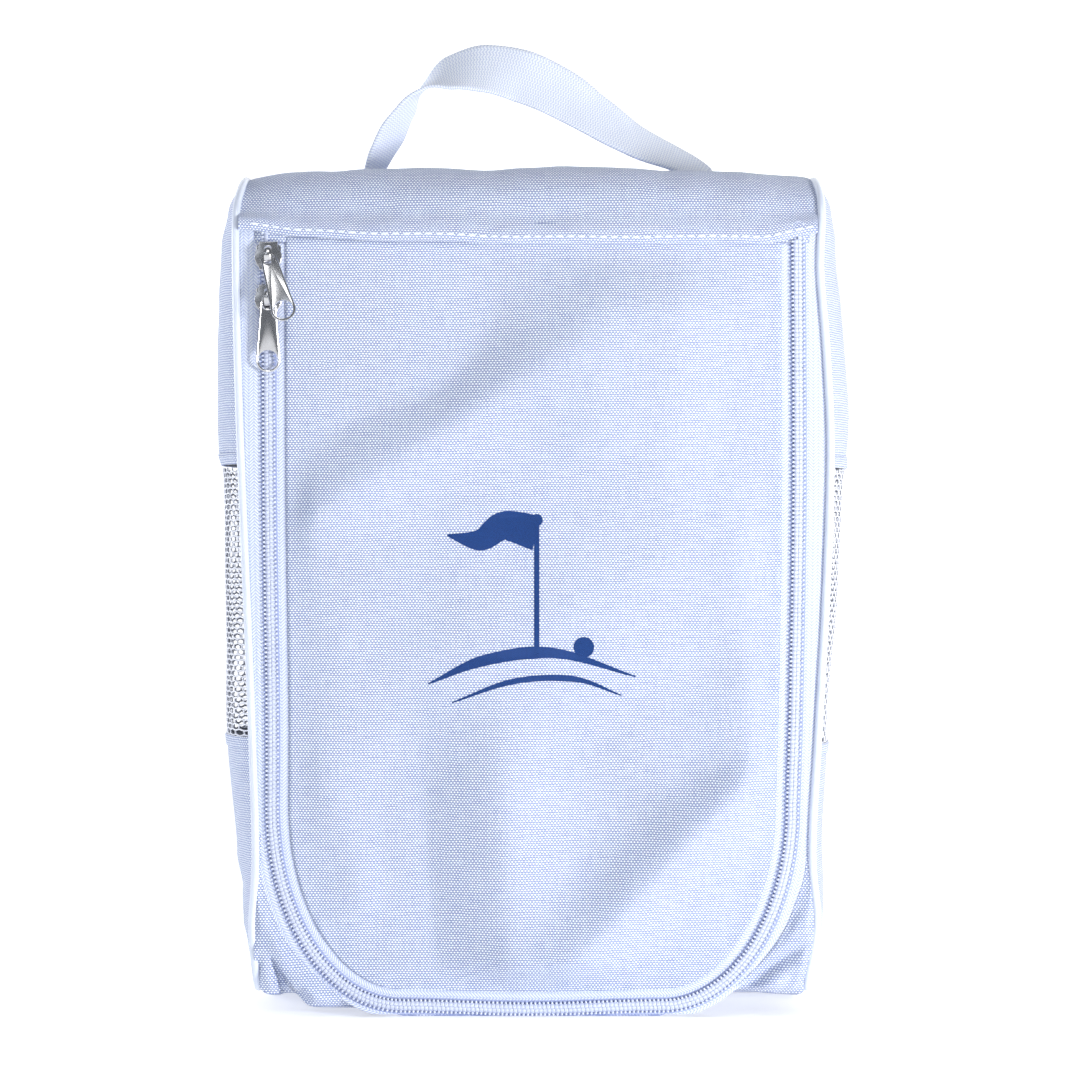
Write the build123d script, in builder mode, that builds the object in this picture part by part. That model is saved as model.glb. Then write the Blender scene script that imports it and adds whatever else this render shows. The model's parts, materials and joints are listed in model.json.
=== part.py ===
from build123d import *
from math import cos, radians, sin
import os

# Golf shoe bag, in millimetres. It stands on z = 0 with its zipped front facing -Y.
os.makedirs("parts", exist_ok=True)

# Body
bag_width = 241.0  # between the two side seams
bag_depth = 122.0
bag_height = 362.0
skin = 1.5  # coated polyester with what is turned in at its seams
shoulder_radius = 28.0  # upper corners, seen from the side
heel_radius = 20.0  # lower back corner
toe_radius = 9.0  # lower front corner
header_drop = 32.0  # front band above the zip
hinge_gap = 0.3  # on each side of the fold line under the header
floor_lift = 0.2  # what is not the base stays this much above the ground
seam_gap = 0.1  # between the piping and the edges that it joins

# Side panels
edge_bulge = 1.5
belly_bulge = 10.5
belly_height = 250.0
shoulder_bulge = 4.0
vent_low = 118.0
vent_high = 235.0

# Piping
piping_radius = 2.0
piping_core_radius = 1.3
piping_inset = 1.0  # its centre line lies this far inside the bag's outline
binding_width = 8.0
binding_thickness = 0.9

# Zip
leg_inset = 8.5  # from the side seam to the centre line of each zip leg
zip_floor = 5.0  # height of the zip's bottom run
zip_corner = 56.0
half_gap = 0.7  # from the centre line to the edge of each half
coil_width = 2.4
coil_height = 2.0
tape_width = 12.4
tape_thickness = 0.8
flap_setback = 3.8  # bare tape between the coil and the flap's folded edge
corner_overlap = 1.8  # corner patch over the tape's outer edge

# Sliders and pulls
slider_width = 10.8
slider_length = 11.5
slider_waist = 8.2
plate_thickness = 1.6
flange_thickness = 1.0
blade_thickness = 1.0
running_gap = 0.3
post_width = 0.8
post_length = 4.0
slider_pitch = 18.1  # between the two parked sliders
parking_gap = 0.6  # from the upper slider to the fold line
bridge_length = 6.0
bridge_width = 2.0
bridge_gap = 3.2
bridge_thickness = 1.0
pull_length = 32.0
pull_top_width = 6.6
pull_tip_width = 10.2
pull_thickness = 1.6
eye_width = 4.2
eye_length = 4.4
ring_hole_radius = 4.2
upper_lean = 17.0  # sideways, in degrees
upper_rise = 21.0  # away from the bag, over the lower slider
lower_rise = -4.0

# Handle
webbing_width = 25.0
webbing_thickness = 2.0
handle_rise = 55.0
handle_left = -70.5
handle_right = 77.0
crest_place = -20.0
swing_height = 13.0  # swing axis above the top panel
stub_gap = 0.4
patch_margin = 14.0
patch_thickness = 1.0

# Worked out from the sizes above
front = bag_depth / 2
tape_face = front - skin
tape_back = tape_face - tape_thickness
side_seam = bag_width / 2
piping_reach = side_seam + piping_radius
fold_height = bag_height - header_drop
zip_turn_height = zip_floor + zip_corner
seam_edge = side_seam - seam_gap
leg_reach = side_seam - leg_inset


def save(part, name):
    part.label = name
    export_step(part, f"parts/{name}.step")


def bag_outline(inset, front_inset=None, low=None, mode=Mode.ADD):
    # The bag seen from the side, moved inwards; drawn in a YZ sketch
    nose = -front + (inset if front_inset is None else front_inset)
    tail = front - inset
    base = inset if low is None else low
    crown = bag_height - inset
    radii = [toe_radius - inset, heel_radius - inset, shoulder_radius - inset, shoulder_radius - inset]
    with BuildLine() as edge:
        FilletPolyline((nose, base), (tail, base), (tail, crown), (nose, crown), radius=radii, close=True)
    make_face(edge.line, mode=mode)


def inside_zip(spread, top, mode=Mode.ADD):
    # The area inside the zip's centre line, moved outwards by spread; drawn in an XZ sketch
    reach = leg_reach + spread
    with BuildLine() as edge:
        FilletPolyline((-reach, top), (-reach, zip_floor - spread), (reach, zip_floor - spread), (reach, top),
                       radius=zip_corner + spread)
        Line((reach, top), (-reach, top))
    make_face(edge.line, mode=mode)


def zip_band(name, near, far, face, thickness, top):
    # A band that follows the zip between two spreads and lies behind the given face
    with BuildPart() as band:
        with BuildSketch(Plane.XZ.offset(face - thickness)):
            inside_zip(max(near, far), top)
            inside_zip(min(near, far), top + 1, mode=Mode.SUBTRACT)
            with Locations((0, floor_lift)):
                Rectangle(bag_width * 2, bag_height * 2, align=(Align.CENTER, Align.MIN), mode=Mode.INTERSECT)
        extrude(amount=thickness)
    save(band.part, name)


# Wrap: top with its front header, back and bottom
with BuildPart() as top_panel:
    with BuildSketch(Plane.YZ.offset(-seam_edge)):
        bag_outline(0)
        bag_outline(skin, mode=Mode.SUBTRACT)
        with Locations((0, fold_height + hinge_gap)):
            Rectangle(bag_depth * 2, bag_height, align=(Align.CENTER, Align.MIN), mode=Mode.INTERSECT)
    extrude(amount=2 * seam_edge)
save(top_panel.part, "top_panel")

with BuildPart() as back_panel:
    with BuildSketch(Plane.YZ.offset(-seam_edge)):
        bag_outline(0)
        bag_outline(skin, mode=Mode.SUBTRACT)
        with Locations((front - heel_radius, 0)):
            Rectangle(bag_depth, fold_height + hinge_gap, align=(Align.MIN, Align.MIN), mode=Mode.INTERSECT)
    extrude(amount=2 * seam_edge)
save(back_panel.part, "back_panel")

with BuildPart() as bottom_panel:
    with BuildSketch(Plane.YZ.offset(-seam_edge)):
        with Locations((-tape_back, 0)):
            Rectangle(tape_back + front - heel_radius, skin, align=(Align.MIN, Align.MIN))
    extrude(amount=2 * seam_edge)
save(bottom_panel.part, "bottom_panel")

# Front corner patches, outside the turns of the zip
for hand, side in (("left", -1), ("right", 1)):
    with BuildPart() as corner_patch:
        with BuildSketch(Plane.XZ.offset(tape_face)):
            with Locations((side * (leg_reach - zip_corner), floor_lift)):
                edges = (Align.MIN if side > 0 else Align.MAX, Align.MIN)
                Rectangle(seam_edge - leg_reach + zip_corner, zip_turn_height, align=edges)
            inside_zip(seam_edge - leg_reach - corner_overlap, bag_height, mode=Mode.SUBTRACT)
        extrude(amount=skin)
    save(corner_patch.part, f"corner_patch_{hand}")

# Side panels: cloth above and below a mesh vent
side_bands = {
    "upper": (vent_high, bag_height),
    "mesh": (vent_low, vent_high),
    "lower": (0, vent_low),
}
bulges = ((0, edge_bulge), (belly_height, belly_bulge), (bag_height, shoulder_bulge))
side_inset = piping_inset + piping_radius + seam_gap
for hand, side in (("left", -1), ("right", 1)):
    for band_name, (band_low, band_high) in side_bands.items():
        with BuildPart() as side_band:
            for level, bulge in bulges:
                inner = side * (piping_reach - skin / 2)
                outer = side * (piping_reach + skin / 2)
                with BuildSketch(Plane.XY.offset(level)):
                    with BuildLine():
                        ThreePointArc((inner, -front), (inner + side * bulge, 0), (inner, front))
                        Line((inner, front), (outer, front))
                        ThreePointArc((outer, front), (outer + side * bulge, 0), (outer, -front))
                        Line((outer, -front), (inner, -front))
                    make_face()
            loft()
            with BuildSketch(Plane.YZ):
                bag_outline(side_inset, low=2 * piping_radius + floor_lift + seam_gap)
            extrude(amount=side * bag_width, mode=Mode.INTERSECT)
            with Locations((0, 0, band_low)):
                Box(bag_width * 2, bag_depth, band_high - band_low,
                    align=(Align.CENTER, Align.CENTER, Align.MIN), mode=Mode.INTERSECT)
        save(side_band.part, f"side_{hand}_{band_name}")

# Piping: a covered cord round each side panel, and the binding over its seam inside the bag
for hand, side in (("left", -1), ("right", 1)):
    run_plane = Plane.YZ.offset(side * piping_reach)
    nose = piping_inset - front
    base = piping_radius + floor_lift
    crown = bag_height - piping_inset
    radii = [radius - piping_inset for radius in (toe_radius, heel_radius, shoulder_radius, shoulder_radius)]
    with BuildLine(run_plane) as piping_run:
        FilletPolyline((nose, base), (-nose, base), (-nose, crown), (nose, crown), radius=radii, close=True)
    run_start = Plane(origin=piping_run.line @ 0, z_dir=piping_run.line % 0)
    with BuildPart() as piping_cover:
        with BuildSketch(run_start):
            Circle(piping_radius)
            Circle(piping_core_radius, mode=Mode.SUBTRACT)
        sweep(path=piping_run.wire())
    save(piping_cover.part, f"piping_{hand}_cover")
    with BuildPart() as piping_cord:
        with BuildSketch(run_start):
            Circle(piping_core_radius)
        sweep(path=piping_run.wire())
    save(piping_cord.part, f"piping_{hand}_cord")
    with BuildPart() as seam_binding:
        with BuildSketch(Plane.YZ.offset(side * seam_edge)):
            bag_outline(skin, front_inset=front - tape_back)
            bag_outline(skin + binding_thickness, front_inset=front - tape_back + binding_thickness,
                        mode=Mode.SUBTRACT)
        extrude(amount=-side * binding_width)
    save(seam_binding.part, f"seam_binding_{hand}")

# Zip: two woven tapes, each with its half of the coil, running down, across and up
coil_far = half_gap + coil_width
flap_top = fold_height - hinge_gap
tape_far = seam_edge - leg_reach  # the outer tape runs into the side seam
zip_band("zip_tape_outer", half_gap, tape_far, tape_face, tape_thickness, fold_height)
zip_band("zip_coil_outer", half_gap, coil_far, tape_face + coil_height, coil_height, fold_height)
zip_band("zip_tape_inner", -half_gap, -half_gap - tape_width, tape_face, tape_thickness, flap_top)
zip_band("zip_coil_inner", -half_gap, -coil_far, tape_face + coil_height, coil_height, flap_top)
binding_near = half_gap + tape_width - binding_width / 2
zip_band("flap_binding", -binding_near, -binding_near - binding_width, tape_back, binding_thickness, flap_top)

with BuildPart() as flap_panel:
    with BuildSketch(Plane.XZ.offset(tape_face)):
        inside_zip(-coil_far - flap_setback, flap_top)
    extrude(amount=skin)
save(flap_panel.part, "flap_panel")

# Sliders, parked one above the other at the top of the left leg
plate_back = tape_face + coil_height + running_gap
plate_face = plate_back + plate_thickness
flange_back = tape_face + running_gap
blade_face = tape_back - running_gap
bar_reach = plate_face + bridge_gap / 2
upper_place = fold_height - parking_gap - slider_length / 2
lower_place = upper_place - slider_pitch

for name, place in (("slider_upper", upper_place), ("slider_lower", lower_place)):
    with BuildPart() as slider:
        # Front plate, waisted below its shoulders
        with BuildSketch(Plane.XZ.offset(plate_back)) as plate_sketch:
            with BuildLine():
                Polyline((-leg_reach - slider_width / 2, place + slider_length / 2),
                         (-leg_reach + slider_width / 2, place + slider_length / 2),
                         (-leg_reach + slider_width / 2, place),
                         (-leg_reach + slider_waist / 2, place - slider_length / 2),
                         (-leg_reach - slider_waist / 2, place - slider_length / 2),
                         (-leg_reach - slider_width / 2, place),
                         close=True)
            make_face()
            fillet(plate_sketch.vertices(), radius=flange_thickness)
        extrude(amount=plate_thickness)
        # Flanges beside the two coils
        with BuildSketch(Plane.XZ.offset(flange_back)):
            with Locations((-leg_reach - (slider_width - flange_thickness) / 2, place + slider_length / 4),
                           (-leg_reach + (slider_width - flange_thickness) / 2, place + slider_length / 4)):
                Rectangle(flange_thickness, slider_length / 2 - flange_thickness)
        extrude(amount=plate_back - flange_back)
        # Post between the coils, and the back blade on the flap's side
        with BuildSketch(Plane.XZ.offset(blade_face - blade_thickness)):
            with Locations((-leg_reach, place)):
                Rectangle(post_width, post_length)
        extrude(amount=plate_back - blade_face + blade_thickness)
        with BuildSketch(Plane.XZ.offset(blade_face - blade_thickness)):
            with Locations((-leg_reach - post_width / 2, place)):
                Rectangle((slider_width + post_width) / 2, slider_length - 2 * flange_thickness,
                          align=(Align.MIN, Align.CENTER))
        extrude(amount=blade_thickness)
        # Bridge that holds the pull's bar
        with BuildSketch(Plane.YZ.offset(-leg_reach - bridge_width / 2)):
            with Locations((-plate_face, place)):
                Rectangle(bridge_gap + bridge_thickness, bridge_length, align=(Align.MAX, Align.CENTER))
                Rectangle(bridge_gap, bridge_length - 2 * bridge_thickness, align=(Align.MAX, Align.CENTER),
                          mode=Mode.SUBTRACT)
        extrude(amount=bridge_width)
    save(slider.part, name)

# Pulls: tapered plates with an eye round the bridge and a finger hole at the tip
for name, place, lean, rise in (("pull_upper", upper_place, upper_lean, upper_rise),
                                ("pull_lower", lower_place, 0.0, lower_rise)):
    lean_angle = radians(lean)
    rise_angle = radians(rise)
    pull_plane = Plane(
        origin=(-leg_reach, -bar_reach, place),
        x_dir=(cos(lean_angle), 0, sin(lean_angle)),
        z_dir=(-sin(rise_angle) * sin(lean_angle), -cos(rise_angle), sin(rise_angle) * cos(lean_angle)),
    )
    pull_tip = pull_thickness / 2 - pull_length
    with BuildPart() as pull:
        with BuildSketch(pull_plane) as pull_sketch:
            with BuildLine():
                Polyline((-pull_top_width / 2, 0), (pull_top_width / 2, 0),
                         (pull_tip_width / 2, pull_tip), (-pull_tip_width / 2, pull_tip), close=True)
            make_face()
            fillet(pull_sketch.vertices().group_by(Axis.Y)[0], radius=pull_tip_width / 2.4)
            with Locations((0, -eye_length / 2)):
                Rectangle(eye_width, eye_length + pull_thickness, mode=Mode.SUBTRACT)
            with Locations((0, pull_tip + pull_tip_width / 2)):
                Circle(ring_hole_radius, mode=Mode.SUBTRACT)
        extrude(amount=pull_thickness / 2, both=True)
        # Round bar under the slider's bridge
        with BuildSketch(Plane(origin=pull_plane.origin, z_dir=pull_plane.x_dir)):
            Circle(pull_thickness / 2)
        extrude(amount=pull_top_width / 2, both=True)
    save(pull.part, name)

# Handle: webbing that swings over its sewn ends, and the patch sewn inside the top
swing_axis = bag_height + swing_height
crest = bag_height + handle_rise - webbing_thickness / 2
with BuildPart() as handle_strap:
    with BuildSketch(Plane.XZ) as strap_sketch:
        with BuildLine() as strap_line:
            FilletPolyline((handle_left, swing_axis), (handle_left + 2, swing_axis + 18), (crest_place, crest),
                           (crest_place + 38, swing_axis + 20), (handle_right, swing_axis),
                           radius=[14, 12, 60])
        trace(line_width=webbing_thickness)
    extrude(amount=webbing_width / 2, both=True)
    for foot in (handle_left, handle_right):
        with BuildSketch(Plane.YZ.offset(foot - webbing_thickness / 2)):
            with Locations((0, swing_axis)):
                Circle(webbing_width / 2)
                Rectangle(webbing_width, webbing_width, align=(Align.CENTER, Align.MIN), mode=Mode.SUBTRACT)
        extrude(amount=webbing_thickness)
save(handle_strap.part, "handle_strap")

stub_step = webbing_thickness + stub_gap
for hand, foot in (("left", handle_left - stub_step), ("right", handle_right + stub_step)):
    with BuildPart() as handle_end:
        with BuildSketch(Plane.XY.offset(bag_height)):
            with Locations((foot, 0)):
                Rectangle(webbing_thickness, webbing_width)
        extrude(amount=swing_height)
    save(handle_end.part, f"handle_end_{hand}")

with BuildPart() as handle_patch:
    with BuildSketch(Plane.XY.offset(bag_height - skin - patch_thickness)):
        with Locations(((handle_left + handle_right) / 2, 0)):
            Rectangle(handle_right - handle_left + 2 * patch_margin, webbing_width + patch_margin)
    extrude(amount=patch_thickness)
save(handle_patch.part, "handle_patch")
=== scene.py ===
import bpy
import bmesh
import json
import math
from mathutils import Vector, Matrix, noise
from mathutils.bvhtree import BVHTree


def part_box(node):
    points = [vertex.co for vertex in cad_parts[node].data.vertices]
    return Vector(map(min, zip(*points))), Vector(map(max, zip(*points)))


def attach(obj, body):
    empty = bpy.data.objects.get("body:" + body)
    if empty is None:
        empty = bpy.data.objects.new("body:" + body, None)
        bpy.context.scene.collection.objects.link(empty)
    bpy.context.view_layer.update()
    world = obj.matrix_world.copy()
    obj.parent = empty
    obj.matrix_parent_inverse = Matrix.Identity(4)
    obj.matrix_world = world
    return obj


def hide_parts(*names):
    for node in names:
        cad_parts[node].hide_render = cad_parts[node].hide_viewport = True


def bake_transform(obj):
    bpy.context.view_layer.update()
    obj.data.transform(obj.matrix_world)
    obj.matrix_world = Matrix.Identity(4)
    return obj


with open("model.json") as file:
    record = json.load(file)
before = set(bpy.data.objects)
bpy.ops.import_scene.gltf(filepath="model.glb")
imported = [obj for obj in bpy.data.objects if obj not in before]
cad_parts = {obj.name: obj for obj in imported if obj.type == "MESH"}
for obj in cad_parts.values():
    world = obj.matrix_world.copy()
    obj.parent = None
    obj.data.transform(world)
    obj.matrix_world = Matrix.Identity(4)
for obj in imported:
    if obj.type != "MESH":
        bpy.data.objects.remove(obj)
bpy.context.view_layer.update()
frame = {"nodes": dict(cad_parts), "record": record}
mm = 0.001  # sizes below are in millimetres, meshes in metres


def boxOf(node):
    low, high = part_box(node)
    return Vector(low) / mm, Vector(high) / mm


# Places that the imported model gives
topLow, topHigh = boxOf("top_panel")
foldZ = topLow.z  # lower edge of the header
crownZ = topHigh.z
frontY = topLow.y
backY = topHigh.y
tapeY = boxOf("flap_panel")[1].y  # the flap lies on the tapes
coilFrontY = boxOf("zip_coil_outer")[0].y
sides = dict(left=-1, right=1)


def linked(name, data):
    item = bpy.data.objects.new(name, data)
    bpy.context.collection.objects.link(item)
    return item


def smoothed(mesh):
    mesh.polygons.foreach_set("use_smooth", [True] * len(mesh.polygons))


def reworked(piece, change):
    # Edits a piece's mesh in place
    work = bmesh.new()
    work.from_mesh(piece.data)
    change(work)
    work.to_mesh(piece.data)
    work.free()


def pieceFrom(name, work):
    mesh = bpy.data.meshes.new(name)
    work.to_mesh(mesh)
    work.free()
    return linked(name, mesh)


def meshObject(name, verts, faces, uvs=None):
    mesh = bpy.data.meshes.new(name)
    mesh.from_pydata([Vector(v) * mm for v in verts], [], faces)
    if uvs:
        layer = mesh.uv_layers.new(name="UVMap")
        for loop in mesh.loops:
            layer.data[loop.index].uv = uvs[loop.vertex_index]
    mesh.update()
    smoothed(mesh)
    return linked(name, mesh)


def outwardFaces(piece):
    reworked(piece, lambda work: bmesh.ops.recalc_face_normals(work, faces=work.faces))


def faceTowards(piece, facing):
    total = sum((face.normal * face.area for face in piece.data.polygons), Vector())
    if total.dot(Vector(facing)) < 0:
        reworked(piece, lambda work: bmesh.ops.reverse_faces(work, faces=work.faces))


def surfaceOf(piece):
    places = [v.co.copy() for v in piece.data.vertices]
    return BVHTree.FromPolygons(places, [tuple(f.vertices) for f in piece.data.polygons])


def gridPiece(name, rows, uvRows, facing=None, wrap=False):
    # Rows of points become a skin of quads; wrap joins each row's end to its start
    width = len(rows[0])
    verts = [p for row in rows for p in row]
    uvs = [uv for row in uvRows for uv in row]
    faces = []
    for i in range(len(rows) - 1):
        for j in range(width if wrap else width - 1):
            k = (j + 1) % width
            faces.append((i * width + j, i * width + k, (i + 1) * width + k, (i + 1) * width + j))
    piece = meshObject(name, verts, faces, uvs)
    if facing is not None:
        faceTowards(piece, facing)
    return piece


def evaluatedMesh(piece):
    graph = bpy.context.evaluated_depsgraph_get()
    return bpy.data.meshes.new_from_object(piece.evaluated_get(graph))


def applyModifiers(piece):
    mesh = evaluatedMesh(piece)
    piece.modifiers.clear()
    piece.data = mesh
    return piece


def thicken(piece, thickness, innerSlot=False):
    # The given faces stay the outer ones; the cloth's thickness goes inwards
    solid = piece.modifiers.new("thickness", "SOLIDIFY")
    solid.thickness = thickness * mm
    solid.offset = -1
    solid.use_even_offset = False
    if innerSlot:
        solid.material_offset = 1
        solid.material_offset_rim = 0
    return applyModifiers(piece)


def smoothPath(points, step):
    # Catmull-Rom curve through the points, resampled evenly
    pts = [Vector(p) for p in points]
    pts = [2 * pts[0] - pts[1]] + pts + [2 * pts[-1] - pts[-2]]
    fine = []
    for a, b, c, d in zip(pts, pts[1:], pts[2:], pts[3:]):
        for k in range(12):
            t = k / 12
            fine.append(0.5 * (2 * b + (c - a) * t + (2 * a - 5 * b + 4 * c - d) * t * t
                               + (3 * b - a - 3 * c + d) * t ** 3))
    fine.append(pts[-2])
    return evenly(fine, step)


def runLengths(points):
    lengths = [0.0]
    for a, b in zip(points, points[1:]):
        lengths.append(lengths[-1] + (b - a).length)
    return lengths


def evenly(points, step):
    lengths = runLengths(points)
    count = max(2, round(lengths[-1] / step))
    result, k = [], 0
    for i in range(count + 1):
        want = lengths[-1] * i / count
        while k < len(points) - 2 and lengths[k + 1] < want:
            k += 1
        span = max(lengths[k + 1] - lengths[k], 1e-9)
        result.append(points[k].lerp(points[k + 1], min(1.0, (want - lengths[k]) / span)))
    return result


def tangents(path, closed=False):
    n = len(path)
    result = []
    for i in range(n):
        before = path[(i - 1) % n] if closed or i > 0 else path[i]
        after = path[(i + 1) % n] if closed or i < n - 1 else path[i]
        result.append((after - before).normalized())
    return result


def tube(name, path, radius, sides, closed=False, up=Vector((0, 1, 0))):
    # A round cord along the path, with u round it and v along it
    rows, uvRows = [], []
    for point, along, run in zip(path, tangents(path, closed), runLengths(path)):
        side = along.cross(up)
        if side.length < 1e-4:
            side = along.cross(Vector((1, 0, 0)))
        side.normalize()
        other = side.cross(along)
        rows.append([point + radius * (math.cos(a) * side + math.sin(a) * other)
                     for a in (2 * math.pi * k / sides for k in range(sides))])
        uvRows.append([(k / sides * 2 * math.pi * radius * mm, run * mm) for k in range(sides)])
    if closed:
        rows.append(rows[0])
        uvRows.append(uvRows[0])
    piece = gridPiece(name, rows, uvRows, wrap=True)

    def close(work):
        if closed:
            bmesh.ops.remove_doubles(work, verts=work.verts, dist=1e-6)
        else:
            bmesh.ops.holes_fill(work, edges=[e for e in work.edges if e.is_boundary])
        bmesh.ops.recalc_face_normals(work, faces=work.faces)

    reworked(piece, close)
    return piece


def joined(name, parts):
    # Several helper meshes become one piece, with the first one's materials
    work = bmesh.new()
    for part in parts:
        work.from_mesh(part.data)
    materials = parts[0].data.materials
    for part in parts:
        bpy.data.objects.remove(part)
    piece = pieceFrom(name, work)
    for material in materials:
        piece.data.materials.append(material)
    return piece


def smoothStep(low, high, value):
    t = min(1.0, max(0.0, (value - low) / (high - low)))
    return t * t * (3 - 2 * t)


def ridge(x, z, fold):
    # Height of one soft fold, a straight crest that fades at both ends
    x0, z0, x1, z1, width, height = fold
    along = Vector((x1 - x0, z1 - z0))
    length = along.length
    along /= length
    here = Vector((x - x0, z - z0))
    run = here.dot(along) / length
    aside = here.x * along.y - here.y * along.x
    fade = smoothStep(-0.25, 0.2, run) * (1 - smoothStep(0.8, 1.25, run))
    return height * fade * math.exp(-abs(aside / width) ** 1.7)


def finishPiece(piece, body, slot, *nodes, material=None):
    if material:
        piece.data.materials.clear()
        piece.data.materials.append(material)
    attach(piece, body)
    if nodes:
        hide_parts(*nodes)
    return piece


def finishCloth(piece, thickness, body, node):
    # White weave outside and inside a grey back, painted shade for the dim inside of the bag
    piece.data.materials.append(clothWhite)
    piece.data.materials.append(shadedClothBack)
    thicken(piece, thickness, innerSlot=True)
    return finishPiece(piece, body, "cloth", node)


def mathNode(tree, operation, *values):
    node = tree.nodes.new("ShaderNodeMath")
    node.operation = operation
    for socket, value in zip(node.inputs, values):
        if isinstance(value, (int, float)):
            socket.default_value = value
        else:
            tree.links.new(value, socket)
    return node.outputs[0]


def newGroup(name, inputs, outputs):
    tree = bpy.data.node_groups.new(name, "ShaderNodeTree")
    for label, kind, value in inputs:
        socket = tree.interface.new_socket(label, in_out="INPUT", socket_type=kind)
        if value is not None:
            socket.default_value = value
    for label, kind in outputs:
        tree.interface.new_socket(label, in_out="OUTPUT", socket_type=kind)
    return tree, tree.nodes.new("NodeGroupInput").outputs, tree.nodes.new("NodeGroupOutput").inputs


def noiseNode(tree, vector, scale, detail, roughness=0.5):
    node = tree.nodes.new("ShaderNodeTexNoise")
    node.inputs["Scale"].default_value = scale
    node.inputs["Detail"].default_value = detail
    node.inputs["Roughness"].default_value = roughness
    tree.links.new(vector, node.inputs["Vector"])
    return node.outputs["Fac"]


def scaled(tree, vector, factors):
    node = tree.nodes.new("ShaderNodeVectorMath")
    node.operation = "MULTIPLY"
    tree.links.new(vector, node.inputs[0])
    node.inputs[1].default_value = factors
    return node.outputs[0]


def axes(tree, vector):
    node = tree.nodes.new("ShaderNodeSeparateXYZ")
    tree.links.new(vector, node.inputs[0])
    return node.outputs


def hump(tree, value):
    # Rises and falls once in each whole step of the value
    return mathNode(tree, "SINE", mathNode(tree, "MULTIPLY", mathNode(tree, "FRACT", value), math.pi))


def makePlainWeave():
    # Crossing threads: each cell shows the thread that lies on top
    tree, given, out = newGroup("plainWeave", [
        ("Vector", "NodeSocketVector", None),
        ("Warp per metre", "NodeSocketFloat", 1430.0),
        ("Weft per metre", "NodeSocketFloat", 1000.0),
        ("Slub", "NodeSocketFloat", 0.6),
    ], [("Height", "NodeSocketFloat"), ("Slubs", "NodeSocketFloat")])
    place = axes(tree, given["Vector"])
    wobble = mathNode(tree, "MULTIPLY", noiseNode(tree, given["Vector"], 120.0, 2.0), 0.9)
    u = mathNode(tree, "MULTIPLY_ADD", place["X"], given["Warp per metre"], wobble)
    v = mathNode(tree, "MULTIPLY_ADD", place["Y"], given["Weft per metre"], wobble)
    parity = mathNode(tree, "FLOORED_MODULO",
                      mathNode(tree, "ADD", mathNode(tree, "FLOOR", u), mathNode(tree, "FLOOR", v)), 2.0)
    roundU, roundV = hump(tree, u), hump(tree, v)
    warp = mathNode(tree, "MULTIPLY", mathNode(tree, "POWER", roundU, 0.8),
                    mathNode(tree, "MULTIPLY_ADD", roundV, 0.35, 0.12))
    weft = mathNode(tree, "MULTIPLY", mathNode(tree, "POWER", roundV, 0.8),
                    mathNode(tree, "MULTIPLY_ADD", roundU, 0.35, 0.65))
    mix = mathNode(tree, "ADD", mathNode(tree, "MULTIPLY", weft, parity),
                   mathNode(tree, "MULTIPLY", warp, mathNode(tree, "SUBTRACT", 1.0, parity)))
    slubs = mathNode(tree, "ADD", noiseNode(tree, scaled(tree, given["Vector"], (110, 1000, 1)), 1.0, 2.0),
                     noiseNode(tree, scaled(tree, given["Vector"], (1430, 110, 1)), 1.0, 2.0))
    slubs = mathNode(tree, "MULTIPLY", mathNode(tree, "SUBTRACT", slubs, 1.0), given["Slub"])
    tree.links.new(mathNode(tree, "MULTIPLY", mix, mathNode(tree, "ADD", 1.0, slubs)), out["Height"])
    tree.links.new(slubs, out["Slubs"])
    return tree


def makeHerringbone():
    # Slanted ribs that turn back at each rib line, for woven tape and webbing
    tree, given, out = newGroup("herringbone", [
        ("Vector", "NodeSocketVector", None),
        ("Rib width", "NodeSocketFloat", 0.0022),
        ("Rib pitch", "NodeSocketFloat", 0.0011),
        ("Slant", "NodeSocketFloat", 1.0),
    ], [("Height", "NodeSocketFloat")])
    place = axes(tree, given["Vector"])
    across = mathNode(tree, "PINGPONG", place["X"], given["Rib width"])
    slant = mathNode(tree, "MULTIPLY", across, given["Slant"])
    phase = mathNode(tree, "DIVIDE", mathNode(tree, "ADD", place["Y"], slant), given["Rib pitch"])
    rib = hump(tree, phase)
    groove = mathNode(tree, "DIVIDE", across, given["Rib width"])
    groove = mathNode(tree, "SINE", mathNode(tree, "MULTIPLY", groove, math.pi))
    edge = mathNode(tree, "MULTIPLY_ADD", mathNode(tree, "POWER", groove, 0.5), 0.5, 0.5)
    tree.links.new(mathNode(tree, "MULTIPLY", rib, edge), out["Height"])
    return tree


def makeWearAndDust():
    # Slow changes of tone over a whole piece, and finer grime
    tree, given, out = newGroup("handling", [
        ("Vector", "NodeSocketVector", None),
        ("Patch size", "NodeSocketFloat", 0.08),
        ("Strength", "NodeSocketFloat", 0.06),
    ], [("Tone", "NodeSocketFloat"), ("Grain", "NodeSocketFloat")])
    big = tree.nodes.new("ShaderNodeTexNoise")
    big.inputs["Detail"].default_value = 3.0
    tree.links.new(given["Vector"], big.inputs["Vector"])
    tree.links.new(mathNode(tree, "DIVIDE", 1.0, given["Patch size"]), big.inputs["Scale"])
    centred = mathNode(tree, "SUBTRACT", big.outputs["Fac"], 0.5)
    tree.links.new(mathNode(tree, "MULTIPLY_ADD", centred, given["Strength"], 1.0), out["Tone"])
    tree.links.new(noiseNode(tree, given["Vector"], 2600.0, 3.0, 0.7), out["Grain"])
    return tree


plainWeave = makePlainWeave()
herringbone = makeHerringbone()
handling = makeWearAndDust()
print("stage: shader groups made")


def newMaterial(name):
    material = bpy.data.materials.new(name)
    material.use_nodes = True
    tree = material.node_tree
    return material, tree, tree.nodes["Principled BSDF"]


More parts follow.
